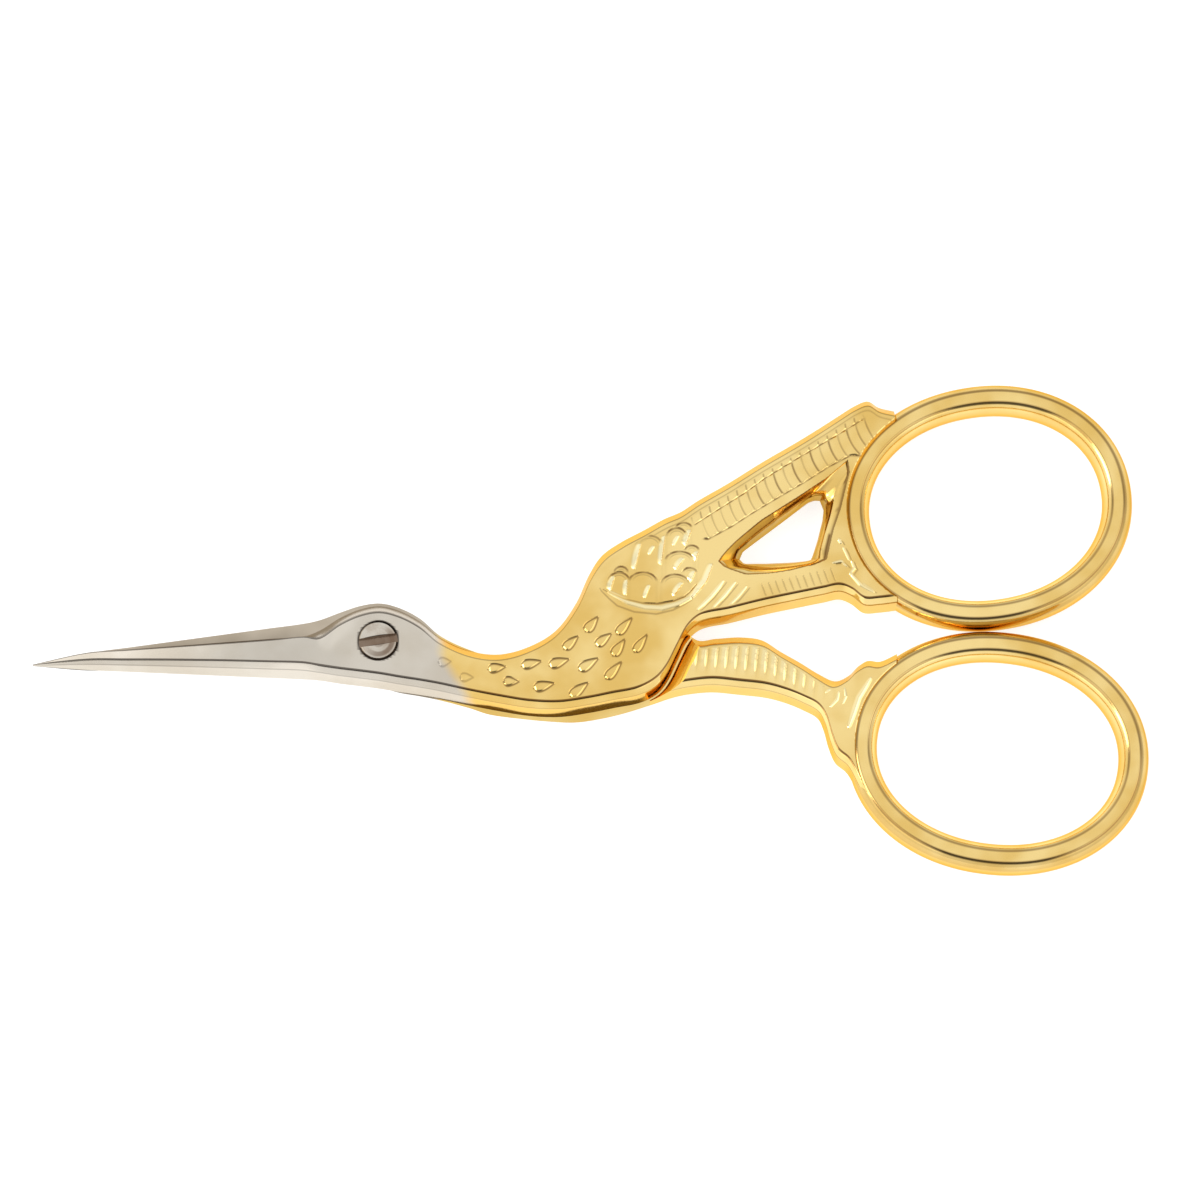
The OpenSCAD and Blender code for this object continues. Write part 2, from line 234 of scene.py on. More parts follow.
def blade_section(share, back_edge, side):
    """Section of a blade at a share of its length, 0 at the heel and 1 at the tip"""
    x = HEEL_X - (BLADE_LENGTH + HEEL_X) * share
    low = back_edge[0] + (back_edge[1] - back_edge[0]) * share
    width = HEEL_WIDTH + (TIP_WIDTH - HEEL_WIDTH) * share
    up = HEEL_SHARE * DEPTH + (TIP_THICKNESS - HEEL_SHARE * DEPTH) * share
    ridge_in = width * (BLADE_RIDGE[0] + BLADE_RIDGE[1] * share)
    edge_up = DEPTH * np.interp(x, *zip(*HEEL_RISE))
    return (
        x, low + side * width, x, low, width * BLADE_EDGE, edge_up,
        ridge_in, up, ridge_in * BLADE_LINE[0], up * BLADE_LINE[1],
    )


def tip_section(side):
    """Section at the very tip of a blade, with the insets and heights of its edges"""
    point = side * TIP_POINT
    return (-BLADE_LENGTH, TIP_Y + point, -BLADE_LENGTH, TIP_Y - point, *TIP_EDGES)


def half_sections(back_edge, side, pairs):
    """Sections of a whole half, from the tip to the ring"""
    rows = [tip_section(side)]
    rows += [blade_section(s, back_edge, side) for s in BLADE_SHARES]
    rows += [plate_section(p, DEPTH, np.interp(p[0], *zip(*HEEL_RISE))) for p in pairs]
    return rows


def inside_out(pairs):
    """Pairs the other way round, for the far side"""
    return pairs[:, [2, 3, 0, 1]]


FRONT_PAIRS = handle_pairs(FRONT_FLAT, FRONT_HANDLE, FRONT_NECK_END, FRONT_RING["at"])
BACK_PAIRS = handle_pairs(BACK_FLAT, BACK_HANDLE, BACK_NECK_END, BACK_RING["at"])


def turned(x, y, degrees):
    """Points turned about the origin"""
    turn = math.radians(degrees)
    return x * math.cos(turn) - y * math.sin(turn), x * math.sin(turn) + y * math.cos(turn)


def ring_axes(ring):
    """Half length and half width of the oval in the middle of a ring's metal"""
    return [(size + RING_WIDTH) / 2 for size in ring["hole"]]


def signed_power(value, power):
    """Power of a value's size, with the value's sign"""
    return np.sign(value) * np.abs(value) ** power


def ring_outline(ring, angles, out=0.0):
    """Points of a ring's oval, out of the middle of its metal"""
    a, b = ring_axes(ring)
    u = signed_power(np.cos(angles), 2 / RING_FULLNESS)
    v = signed_power(np.sin(angles), 2 / RING_FULLNESS)
    nx = b * signed_power(u, RING_FULLNESS - 1)
    ny = a * signed_power(v, RING_FULLNESS - 1)
    size = np.hypot(nx, ny)
    x, y = turned(a * u + nx / size * out, b * v + ny / size * out, ring["turn"])
    return ring["at"][0] + x, ring["at"][1] + y


def ring_distance(ring, x, y):
    """How far points lie outside the middle of a ring's metal, negative inside"""
    u, v = np.abs(turned(x - ring["at"][0], y - ring["at"][1], -ring["turn"]))
    a, b = ring_axes(ring)
    level = np.maximum((u / a) ** RING_FULLNESS + (v / b) ** RING_FULLNESS, 1e-6)
    level = level ** (1 / RING_FULLNESS)
    return (level - 1) * np.hypot(u, v) / level


# Relief of the faces: strokes taper towards their ends to these shares of their width
STROKE_END = 0.35
RIDGE_END = 0.55
# How far a ridge's steep side and its ends reach
RIDGE_FALL = 0.09
RIDGE_CAP = 0.12


def ease(value, low, high):
    """0 below low, 1 above high, and smooth between"""
    t = np.clip((value - low) / (high - low), 0, 1)
    return t * t * (3 - 2 * t)


def bump(distance, half_width):
    """Rounded ridge of height 1 along the places where distance is 0"""
    t = np.clip(np.abs(distance) / half_width, 0, 1)
    return (1 - t * t) ** 2


def line_distance(x, y, points):
    """Distance to a line through points, and how far along it the nearest place is"""
    best = np.full(x.shape, 1e9)
    along = np.zeros(x.shape)
    run = 0.0
    for (x0, y0), (x1, y1) in zip(points[:-1], points[1:]):
        dx = x1 - x0
        dy = y1 - y0
        size = math.hypot(dx, dy)
        t = np.clip(((x - x0) * dx + (y - y0) * dy) / size**2, 0, 1)
        far = np.hypot(x - x0 - t * dx, y - y0 - t * dy)
        nearer = far < best
        best = np.where(nearer, far, best)
        along = np.where(nearer, run + t * size, along)
        run += size
    return best, along / run


def side_of(x, y, points):
    """Height of points over a line that runs in +X"""
    return y - np.interp(x, *zip(*points))


def tapering(along, end):
    """Share of the full width along a stroke: end at both ends and 1 in the middle"""
    return end + (1 - end) * np.sqrt(np.clip(4 * along * (1 - along), 0, 1))


def stroke(x, y, points, half_width):
    """Tapered stroke along a line, 1 on the line"""
    far, along = line_distance(x, y, points)
    return bump(far, half_width * tapering(along, STROKE_END))


def facet(x, y, points, width, height):
    """Ridge along a line: a broad slope on its left and a steep one on its right"""
    far, along = line_distance(x, y, points)
    line = sorted((py, px) for px, py in points)
    across = np.where(x > np.interp(y, *zip(*line)), far, -far)
    taper = tapering(along, RIDGE_END)
    near = 1 - ease(far * (np.abs(along - 0.5) > 0.499), 0.0, RIDGE_CAP)
    rise = np.clip(1 + across / (width * taper), 0, 1)
    fall = 1 - ease(across, 0.0, RIDGE_FALL)
    return height * taper * rise * fall * near


def drop_mark(x, y, at, length, width, angle):
    """Pressed drop: a groove along its outline and a raised middle, its point to the right"""
    u, v = turned(x - at[0], y - at[1], -angle)
    u = u / (length / 2)
    v = v / (width / 2)
    edge = np.sqrt(np.clip(1 - u * u, 0, None)) * (1 - DROP_POINT * u) / DROP_FULLNESS
    outer = (np.abs(v) - edge) * width / 2
    outer = np.maximum(outer, (np.abs(u) - 1) * length / 2)
    groove = -DROP_GROOVE * bump(outer, DROP_GROOVE_WIDTH)
    middle = DROP_RISE * ease(-outer, 0.06, 0.2)
    return np.where(np.abs(u) < 1.5, groove + middle, 0)


# A drop's groove, the rise of its middle, how pointed it is, and the painted shade in its groove
DROP_GROOVE = 0.045
DROP_GROOVE_WIDTH = 0.13
DROP_RISE = 0.035
DROP_POINT = 0.62
DROP_FULLNESS = 1.18
DROP_PAINTED_SHADE = 0.85
# The first drops, where the gold begins, are pressed less
FAINT_UNTIL = 8
FAINT_SHARE = 0.5
# Drops on the neck and breast: place, length, width, angle
DROPS = [
    (5.3, -1.75, 0.95, 0.75, 5), (7.05, -3, 1, 0.7, 0), (9.45, -2.25, 1.35, 0.75, 8),
    (10.6, -3.35, 1.2, 0.75, 0), (12.2, -1.9, 1.55, 0.75, 14), (13.2, -3.7, 1.6, 0.8, 14),
    (14.4, -1.8, 1.6, 0.8, 18), (16, -4, 1.75, 0.8, 38), (16.75, -1.95, 1.75, 0.8, 32),
    (15.35, -0.2, 1.5, 0.75, 42), (17, 1.3, 1.5, 0.8, 50), (17.95, 0.05, 1.5, 0.75, 38),
    (18.75, -2.45, 1.8, 0.75, 48), (19.15, -0.6, 1.6, 0.8, 55), (19.6, 1.15, 1.75, 0.75, 48),
    (20.9, -0.25, 1.7, 0.7, 55),
]

# A scale's height at its foot and what its crest adds, its cuts, the width of the painted shade
# along its arch, and its inner rim
SCALE_FOOT = 0.015
SCALE_CREST = 0.045
SCALE_CUT = 0.02
SCALE_LINE = 0.17
SCALE_RIM = 0.2
SCALE_RIM_WIDTH = 0.08
# Scales, each over those before it: middle, half width and height of its arch
SCALES = [
    (24.35, 9.15, 0.55, 0.4), (23.79, 8.37, 0.78, 0.73), (21.57, 7.64, 1.02, 0.86),
    (24.99, 7.28, 0.51, 0.41), (24.03, 6.46, 1.09, 0.73), (19.35, 5.46, 0.5, 0.5),
    (24.81, 5.5, 0.49, 0.36), (19.17, 4.73, 0.8, 0.75), (21.08, 4.73, 1.05, 0.77),
    (23.66, 4.55, 1.07, 0.77),
]
PATCH_FLOOR = [
    (17.9, 4.15), (18.41, 3.91), (19.57, 3.37), (21.08, 3), (22.23, 2.96), (23.48, 3.19),
    (24.37, 3.55), (24.81, 3.91), (25.4, 4.6),
]
PATCH_RIM = [
    (18.3, 3.98), (18.77, 3.73), (19.92, 3.1), (21.26, 2.73), (22.59, 2.64), (23.92, 3),
    (24.81, 3.46), (25.4, 4.1),
]
PATCH_FOOT = [
    (17.65, 4.25), (17.79, 4), (18.41, 3.37), (19.03, 2.82), (20.37, 2.32), (22.15, 2.14),
    (23.48, 2.46), (24.37, 2.91), (25, 3.3),
]
# Raised strokes on and between the scales, each with a painted highlight: line and half width
FLANKS = [
    ([(18.77, 5.19), (18.46, 4.1)], 0.24), ([(19.79, 4.9), (19.7, 3.69)], 0.19),
    ([(21.61, 4.46), (21.21, 3.46)], 0.17), ([(24.23, 4.64), (23.52, 3.64)], 0.22),
    ([(20.86, 7.82), (20.39, 5.82)], 0.25), ([(21.97, 7.64), (21.57, 7)], 0.15),
    ([(22.81, 8.46), (22.5, 6.2)], 0.22), ([(24.32, 6.64), (23.7, 5.78)], 0.24),
    ([(23.92, 8.5), (23.52, 7.75)], 0.15), ([(24.9, 8.96), (24.47, 7.78)], 0.26),
    ([(25.43, 7.2), (25.25, 6.5)], 0.22), ([(25.2, 5.6), (24.9, 4.82)], 0.22),
    ([(26.6, 6.2), (26.14, 4.82), (25.08, 3.5)], 0.27),
]
# Lines that part the wing's bands
BAND_ONE = [
    (24.95, 9.25), (26.85, 10.5), (29.2, 12), (30.8, 13.2), (33.6, 14.95), (36.35, 16.6),
    (39, 18.25),
]
BAND_TWO = [
    (26.3, 8.25), (28.2, 9.3), (29.7, 10.3), (31.4, 11.35), (34.15, 13), (36, 14.2),
    (37.7, 15.1),
]
# Direction of the wing, spacing of its bars, and where along it they fade in and out
WING_WAY = (0.848, 0.53)
BAR_PITCH = 0.86
BARS_FROM = (25.3, 25.7)
BARS_TO = (42.3, 42.8)
# Height of the bars of the two bands, and their lean
FIRST_RISE = 0.03
SECOND_RISE = 0.085
FIRST_LEAN = 0.3
SECOND_LEAN = (0.34, 0.1)
# Depth and half width of the lines that part the bands, and the border line's inset
BAND_CUT = 0.035
BAND_CUT_WIDTH = 0.12
BORDER_INSET = 1.2
# Strokes raised behind the shoulder and where wing and ring meet, each with a painted highlight,
# and beside it a shallow groove with a painted shadow: line, half width
RAISED = [
    ([(27.5, 4.85), (26.5, 3.6), (25.4, 2.5)], 0.2),
    ([(28.45, 4.75), (27.5, 3.6), (26.6, 2.6)], 0.16),
    ([(29.35, 4.4), (28.6, 3.5), (27.8, 2.7)], 0.14), ([(36.7, 8.25), (36.95, 7.9)], 0.2),
    ([(37.05, 7.6), (37.3, 7.1), (37.55, 6.5)], 0.14),
    ([(36.2, 6.3), (36.9, 6.45), (37.4, 6)], 0.16),
    ([(37.7, 6.5), (37.95, 5.9), (37.6, 5.4)], 0.15),
    ([(37.6, 5.5), (38.4, 4.6), (39.5, 3.95)], 0.24),
]
# Short cuts along the shank: number, first one, step to the next, lean
TICK_COUNT = 11
TICK_FROM = (30.95, 3.45)
TICK_STEP = (0.55, 0.13)
TICK_LEAN = (-0.4, 1.15)
TICK_WIDTH = 0.11
TICK_DEPTH = 0.03
# Flutes across the back half's leg: spacing, first one, lean, height, and the line they end on
RIB_PITCH = 0.8
RIB_FROM = 25.6
RIB_LEAN = 0.12
RIB_HEIGHT = 0.12
RIB_FLOOR = [(25, -2), (28, -2.2), (31, -2.6), (34, -4), (37, -5.4)]
# Strokes raised at the leg's knuckle, each with a painted highlight: line, half width
KNUCKLE = [
    ([(39.2, -3), (38.2, -4.6), (37.4, -7)], 0.3),
    ([(35.95, -5.35), (36.5, -4.75), (36.65, -4.1)], 0.16),
    ([(36.95, -5.1), (37.2, -4.5), (37.1, -3.8)], 0.14), ([(35.6, -4.2), (36.2, -3.7)], 0.14),
]
# Rise of a raised stroke as a share of its half width
STROKE_RISE = 0.3


def scale_relief(x, y):
    """Overlapping arched scales with a double rim, and the painted shade along their cut lines"""
    height = np.zeros(x.shape)
    painted_light = np.zeros(x.shape)
    for cx, cy, half, rise in SCALES:
        dx = (x - cx) / half
        dy = (y - cy) / rise
        reach = np.where(dy > 0, np.hypot(dx, dy), np.abs(dx))
        outside = (reach - 1) * (half + rise) / 2
        covered = (outside < 0.14) & (dy > -3.5)
        crest = ease(dy, 0.0, 0.7)
        rim = bump(outside + SCALE_RIM, SCALE_RIM_WIDTH) * crest
        shape = (SCALE_FOOT + SCALE_CREST * crest) * ease(-outside, -0.05, 0.16)
        shape -= SCALE_CUT * (crest * bump(outside - 0.06, 0.1) + rim)
        waver = 0.6 + 0.4 * np.sin(3.1 * x + 2.3 * y) ** 2
        line = (0.05 + 0.95 * crest * waver) * bump(outside - 0.05, SCALE_LINE)
        line = np.maximum(line, 0.4 * rim)
        height = np.where(covered, shape, height)
        painted_light = np.where(covered, line, painted_light)
    return height, painted_light


def wing_relief(x, y, inset):
    """Bands of feather bars between cut lines along the wing, with painted shade in the lines
    and painted highlights on the bars' crests
    """
    one = side_of(x, y, BAND_ONE)
    two = side_of(x, y, BAND_TWO)
    along = x * WING_WAY[0] + y * WING_WAY[1]
    started = ease(x + 0.6 * (y - 9), *BARS_FROM) * (1 - ease(along, *BARS_TO))
    first = ease(inset, 1.3, 1.45) * ease(one, 0.06, 0.18) * started
    second = ease(-one, 0.02, 0.14) * ease(two, 0.04, 0.16) * started
    tick = (along - FIRST_LEAN * one) / BAR_PITCH % 1
    arch = (along - SECOND_LEAN[0] * one - SECOND_LEAN[1] * one**2) / BAR_PITCH % 1
    late = 0.55 + 0.45 * ease(along, 27.0, 33.0)
    height = FIRST_RISE * first * shingle(tick) + SECOND_RISE * second * late * shingle(arch)
    waver = 0.45 + 0.55 * np.sin(along * 2.9) ** 2
    cuts = np.maximum(bump(one, BAND_CUT_WIDTH), bump(two, BAND_CUT_WIDTH)) * started
    height -= BAND_CUT * cuts
    fade = 0.45 + 0.55 * np.sin(along * 1.7 + 1) ** 2
    painted_light = np.maximum(cuts * waver, 0.6 * first * bump((tick - 0.5) * BAR_PITCH, 0.13))
    painted_light = np.maximum(painted_light, 0.95 * second * late * fade * bump((arch - 0.5) * BAR_PITCH, 0.16))
    crests = 0.7 * second * bump((arch - 0.24) * BAR_PITCH, 0.3)
    crests = np.maximum(crests, 0.5 * first * bump((tick - 0.26) * BAR_PITCH, 0.24))
    border = bump(inset - BORDER_INSET, 0.1) * ease(x, 20.0, 23.0)
    height -= 0.02 * border
    return height, np.maximum(painted_light, 0.4 * border) - crests


def shingle(share):
    """Slow rise and quick fall of one bar, the fall in the middle of its share"""
    shifted = (share + 0.5) % 1
    return shifted * (1 - ease(shifted, 0.86, 1.0))


def tick_relief(x, y):
    """Short cuts in a row along the shank, from 0 to 1"""
    cuts = np.zeros(x.shape)
    for i in range(TICK_COUNT):
        x0 = TICK_FROM[0] + i * TICK_STEP[0]
        y0 = TICK_FROM[1] + i * TICK_STEP[1]
        ends = [(x0, y0), (x0 + TICK_LEAN[0], y0 + TICK_LEAN[1])]
        cuts += stroke(x, y, ends, TICK_WIDTH)
    return cuts


def front_relief(x, y, inset):
    """All the relief of the front half's face in millimetres, with painted shade in its cut lines
    and painted highlights on its raised strokes
    """
    height = np.zeros(x.shape)
    for cx, cy, length, width, angle in DROPS:
        pressed = FAINT_SHARE if cx < FAINT_UNTIL else 1
        height += pressed * drop_mark(x, y, (cx, cy), length, width, angle)
    painted_light = np.clip(-height / DROP_GROOVE, 0, 1) * DROP_PAINTED_SHADE
    on_patch = ease(side_of(x, y, PATCH_FLOOR), 0.0, 0.1) * ease(x, 17.9, 18.1)
    on_patch = on_patch * ease(25.7 - x, 0, 0.2)
    scales, lines = scale_relief(x, y)
    height += scales * on_patch
    painted_light = np.maximum(painted_light, lines * on_patch)
    # Cuts along the patch's floor and foot, with painted shade in them
    for points, depth, dark in ((PATCH_FLOOR, 0.05, 0.8), (PATCH_FOOT, 0.02, 0.5)):
        cuts = stroke(x, y, points, 0.13)
        height -= depth * cuts
        painted_light = np.maximum(painted_light, dark * cuts)
    painted_highlight = np.zeros(x.shape)
    for points, half_width in FLANKS:
        rise = facet(x, y, points, 1.9 * half_width, 0.5 * half_width)
        height += rise
        painted_highlight = np.maximum(painted_highlight, ease(rise / half_width, 0.02, 0.25))
    # The crescent along the patch's rim is raised and takes a painted highlight
    crescent = stroke(x, y, PATCH_RIM, 0.34)
    height += 0.075 * crescent
    painted_highlight = np.maximum(painted_highlight, 0.8 * crescent)
    for points, half_width in RAISED:
        ridge = stroke(x, y, points, half_width)
        height += STROKE_RISE * half_width * ridge
        painted_highlight = np.maximum(painted_highlight, 0.8 * ridge)
        shadow = stroke(x, y, [(px + 0.26, py - 0.12) for px, py in points], 0.11)
        height -= 0.03 * shadow
        painted_light = np.maximum(painted_light, 0.5 * shadow)
    wing, wing_painted_light = wing_relief(x, y, inset)
    ticks = tick_relief(x, y)
    painted_light = np.maximum(np.maximum(painted_light, wing_painted_light), 0.4 * ticks) - painted_highlight
    return height + wing - TICK_DEPTH * ticks, painted_light


def back_relief(x, y, inset):
    """Flutes across the leg and the small motifs at its knuckle, with painted shade in the flutes'
    hollows and painted highlights on their crests and the motifs
    """
    fade = 1 - 0.8 * ease(x, 32.5, 36.0)
    on_leg = ease(x, 24.6, 25.2) * (1 - ease(x, 36.6, 37.4))
    level = side_of(x, y, RIB_FLOOR)
    share = (x - RIB_FROM - RIB_LEAN * y) / RIB_PITCH % 1
    flute = np.minimum(share / 0.68, (1 - share) / 0.32)
    reach = fade * on_leg * ease(level, -0.9, 1.0)
    height = RIB_HEIGHT * flute * reach
    painted_light = (0.3 * (1 - ease(flute, 0.0, 0.25)) - 0.5 * ease(flute, 0.3, 0.7)) * reach
    for points, half_width in KNUCKLE:
        ridge = stroke(x, y, points, half_width)
        height += STROKE_RISE * half_width * ridge
        painted_light -= 0.8 * ridge
    return height, painted_light


# Quarter of a ring's section: the curve of its wall out and up, and its flat
RING_OUT = (1, 0.99, 0.8, 0.4)
RING_UP = (0, 0.42, 0.82, 0.975)
RING_FLAT = ((0.34, 0.995), (0.27, 1.0), (0.0, 1.0))
RING_STEPS = 9
RING_POINTS = 280
SPACE_POINTS = 160
# Painted shade on a ring's faces across the band, from its inner side to its outer one
RING_PAINTED_SHADE = (
    (-0.54, 0), (-0.4, 0.7), (-0.34, 0.5), (-0.27, 0), (0.27, 0), (0.34, 0.6), (0.4, 0.8),
    (0.54, 0.3), (1, 0.3),
)


# Meshes


def add_object(name, data):
    """Object in the scene that shows a mesh, a light or a camera"""
    obj = bpy.data.objects.new(name, data)
    bpy.context.scene.collection.objects.link(obj)
    return obj


def rounded(p, before, after, radius, count):
    """Columns of points round the corner p between two neighbours"""
    ends = []
    for other in (before, after):
        size = np.linalg.norm(other - p, axis=1, keepdims=True)
        ends.append(p + (other - p) / size * np.minimum(radius, size * 0.4))
    start, end = ends
    steps = np.linspace(0, 1, count)
    return [(1 - t) ** 2 * start + 2 * t * (1 - t) * p + t * t * end for t in steps]


def between(p, q, count):
    """Columns of points between p and q, without either"""
    return [p + (q - p) * t for t in np.linspace(0, 1, count + 2)[1:-1]]


def painted_edge_shade(x, edge, first, last):
    """Painted shade along a forged grid's edges: the face's edge is in the columns from edge up to
    first, and the ridge follows the column last"""
    painted_light = np.zeros(x.shape)
    plain = ease(PLAIN_END[0] - x, 0.0, PLAIN_END[1])
    painted_light[:, :edge] = WALL_PAINTED_SHADE * plain[:, :edge]
    painted_light[:, edge:first] = EDGE_PAINTED_SHADE * plain[:, edge:first]
    middle = slice(edge + 1, first - 1)
    painted_light[:, middle] = np.maximum(painted_light[:, middle], HANDLE_EDGE_PAINTED_SHADE)
    upper = slice(0, first - 1)
    painted_light[:, upper] = np.maximum(painted_light[:, upper], ease(-x[:, upper], *BLADE_PAINTED_SHADE))
    painted_light[:, last + 1:last + 5] = 1.0
    painted_light[:, last + RIDGE_ROUND + BEVEL_COLUMNS + 1] = BEVEL_PAINTED_SHADE
    return painted_light


def forged(rows, relief=None, ring=None, face_columns=FACE_COLUMNS):
    """Grid of points over a half's section rows: place in plan, height over its inner face, and
    the painted shade and painted highlight there"""
    a = rows[:, 0:2]
    b = rows[:, 2:4]
    width = np.linalg.norm(b - a, axis=1, keepdims=True)
    inward = (b - a) / width
    top = rows[-1, 7]

    def at(inset, up):
        return np.hstack([inset.reshape(-1, 1), np.minimum(up, top).reshape(-1, 1)])

    w = width[:, 0]
    zero = np.zeros(len(rows))
    foot_a = at(zero, zero)
    face = at(rows[:, 4], rows[:, 5])
    ridge = at(w - rows[:, 6], rows[:, 7])
    line = at(w - rows[:, 8], rows[:, 9])
    foot_b = at(w, zero)
    face_round = rounded(face, foot_a, ridge, FACE_CORNER, FACE_ROUND)
    ridge_round = rounded(ridge, face, line, RIDGE_CORNER, RIDGE_ROUND)
    line_round = rounded(line, ridge, foot_b, LINE_CORNER, LINE_ROUND)
    flat = between(face_round[-1], ridge_round[0], face_columns)
    columns = [foot_a, *between(foot_a, face_round[0], WALL_COLUMNS), *face_round, *flat]
    columns += [*ridge_round, *between(ridge_round[-1], line_round[0], BEVEL_COLUMNS)]
    columns += [*line_round, *between(line_round[-1], foot_b, WALL_COLUMNS), foot_b]
    grid = np.stack(columns, axis=1)
    plan = a[:, None, :] + inward[:, None, :] * grid[:, :, 0:1]
    x, y = np.moveaxis(plan, 2, 0)
    z = grid[:, :, 1].copy()
    edge = WALL_COLUMNS + 1
    first = edge + FACE_ROUND
    last = first + len(flat)
    painted_light = painted_edge_shade(x, edge, first, last)
    if relief is not None:
        share = np.zeros(z.shape)
        share[:, first:last] = 1
        inset = grid[:, :, 0]
        room = np.minimum(inset - rows[:, 4:5], width - rows[:, 6:7] - inset)
        share = share * ease(room, *RELIEF_FADE)
        height, dark = relief(x, y, inset)
        z = z + share * np.clip(height, -1, RELIEF_LIMIT)
        painted_light = np.where(share > 0, share * dark, painted_light)
    if ring is not None:
        far = ring_distance(ring, x, y)
        low = RING_MEETING_Z - SLIDE_Z
        cap = low + (top + MEETING_MARGIN - low) * ease(far, *MEETING_RISE)
        z = np.where(far < MEETING_REACH, np.minimum(z, cap), z)
        painted_light = painted_light * ease(far, *MEETING_PAINTED_LIGHT_FADE)
    return x, y, z, painted_light


def new_object(name, verts, faces, painted_light=None):
    """Object of its own mesh, with the painted light of its points"""
    mesh = bpy.data.meshes.new(name)
    mesh.from_pydata(verts, [], faces)
    if painted_light is not None:
        mesh.attributes.new(PAINTED_LIGHT_NAME, "FLOAT", "POINT").data.foreach_set("value", painted_light)
    mesh.update()
    return add_object(name, mesh)


def tube(rows, columns):
    """Faces between rows of points, each row closed on itself"""
    k = np.arange(columns)
    start = (np.arange(rows - 1) * columns)[:, None]
    quads = np.stack([start + k, start + (k + 1) % columns], axis=2)
    return np.concatenate([quads, quads[:, :, ::-1] + columns], axis=2).reshape(-1, 4).tolist()


def lids(rows, columns):
    """Faces that close a tube, at its first and last row"""
    return [list(range(columns))[::-1], [(rows - 1) * columns + k for k in range(columns)]]


def forging_part(name, base, up, rows, relief, ring, columns=FACE_COLUMNS):
    """Part of a half on its inner face at the height base, where up is 1, or under it at -1"""
    x, y, z, painted_light = forged(rows, relief, ring, columns)
    verts = np.stack([x, y, base + up * z], axis=2).reshape(-1, 3) * MM
    faces = tube(*x.shape) + lids(*x.shape)
    if up < 0:
        faces = [face[::-1] for face in faces]
    return new_object(name, verts.tolist(), faces, painted_light.ravel())


def curve(t, weights):
    """Cubic curve through its first and last weight"""
    a, b, c, d = weights
    return (1 - t) ** 3 * a + 3 * (1 - t) ** 2 * t * b + 3 * (1 - t) * t**2 * c + t**3 * d


def ring_piece(name, ring):
    """Finger ring with a flat on each face and rounded walls"""
    t = np.linspace(0, 1, RING_STEPS)
    flat_out, flat_up = zip(*RING_FLAT)
    out = np.concatenate([curve(t, RING_OUT), flat_out])
    up = np.concatenate([curve(t, RING_UP), flat_up])
    section_out = np.concatenate([out, -out[-2::-1], -out[1:], out[-2:0:-1]])
    section_up = np.concatenate([up, up[-2::-1], -up[1:], -up[-2:0:-1]])
    count = RING_POINTS
    angles = np.arange(count) * 2 * math.pi / count
    verts = []
    for o, u in zip(section_out, section_up):
        x, y = ring_outline(ring, angles, o * (RING_WIDTH / 2 - SKIN))
        z = np.full(count, SLIDE_Z + u * RING_HEIGHT / 2)
        verts.append(np.stack([x, y, z], axis=1))
    n = len(verts)
    verts = np.stack(verts, axis=1).reshape(-1, 3) * MM
    faces = (np.array(tube(count + 1, n)) % (count * n))[:, [0, 3, 2, 1]].tolist()
    # Painted shade in bands on the ring's faces
    painted_light = np.interp(section_out, *zip(*RING_PAINTED_SHADE)) * (np.abs(section_up) > 0.5)
    return new_object(name, verts.tolist(), faces, np.tile(painted_light, count))


def prism(name, outlines, heights):
    """Closed mesh through outlines with equal numbers of points, one at each height"""
    shape = (len(outlines), len(outlines[0]))
    verts = []
    for outline, z in zip(outlines, heights):
        verts += [(p[0] * MM, p[1] * MM, z * MM) for p in outline]
    faces = lids(*shape) + tube(*shape)
    obj = new_object(name, verts, faces)
    bm = bmesh.new()
    bm.from_mesh(obj.data)
    bmesh.ops.recalc_face_normals(bm, faces=bm.faces)
    bm.to_mesh(obj.data)
    bm.free()
    return obj


def circle(radius, count=128):
    """Points of a circle about the pivot"""
    angles = [2 * math.pi * k / count for k in range(count)]
    return [(radius * math.cos(angle), radius * math.sin(angle)) for angle in angles]


def stack(name, *levels):
    """Closed mesh through circles, each level a radius and a height"""
    return prism(name, [circle(radius) for radius, _ in levels], [z for _, z in levels])


def cut(obj, *cutters):
    """Take the cutters out of obj"""
    for cutter in cutters:
        modifier = obj.modifiers.new("cut", "BOOLEAN")
        modifier.operation = "DIFFERENCE"
        modifier.solver = "EXACT"
        modifier.object = cutter
    bpy.context.view_layer.update()
    depsgraph = bpy.context.evaluated_depsgraph_get()
    mesh = bpy.data.meshes.new_from_object(obj.evaluated_get(depsgraph))
    obj.modifiers.clear()
    obj.data = mesh


def remove(*objs):
    """Take objects out of the file"""
    for obj in objs:
        bpy.data.objects.remove(obj, do_unlink=True)


def finished(name, near, far, ring):
    """A half from its two parts and its ring, in one mesh"""
    parts = (near, far, ring_piece("ring", ring))
    bm = bmesh.new()
    for part in parts:
        bm.from_mesh(part.data)
    piece = new_object(name, [], [])
    bm.to_mesh(piece.data)
    bm.free()
    remove(*parts)
    shade(piece)
    return piece


def shade(obj, angle=32):
    """Smooth shading with sharp edges where faces meet at more than angle degrees"""
    bm = bmesh.new()
    bm.from_mesh(obj.data)
    limit = math.radians(angle)
    for face in bm.faces:
        face.smooth = True
    for edge in bm.edges:
        edge.smooth = len(edge.link_faces) == 2 and edge.calc_face_angle(0) < limit
    bm.to_mesh(obj.data)
    bm.free()


def step_cutter(name, pairs, inner_z, outer_z):
    """Space of the other half's body: steep at the inner face, then a bevel up to the outer"""
    outlines = [offset_outline(pairs, STEP_CLEARANCE + out) for _, out in STEP_PROFILE]
    heights = [inner_z + (outer_z - inner_z) * share for share, _ in STEP_PROFILE]
    return prism(name, outlines, heights)


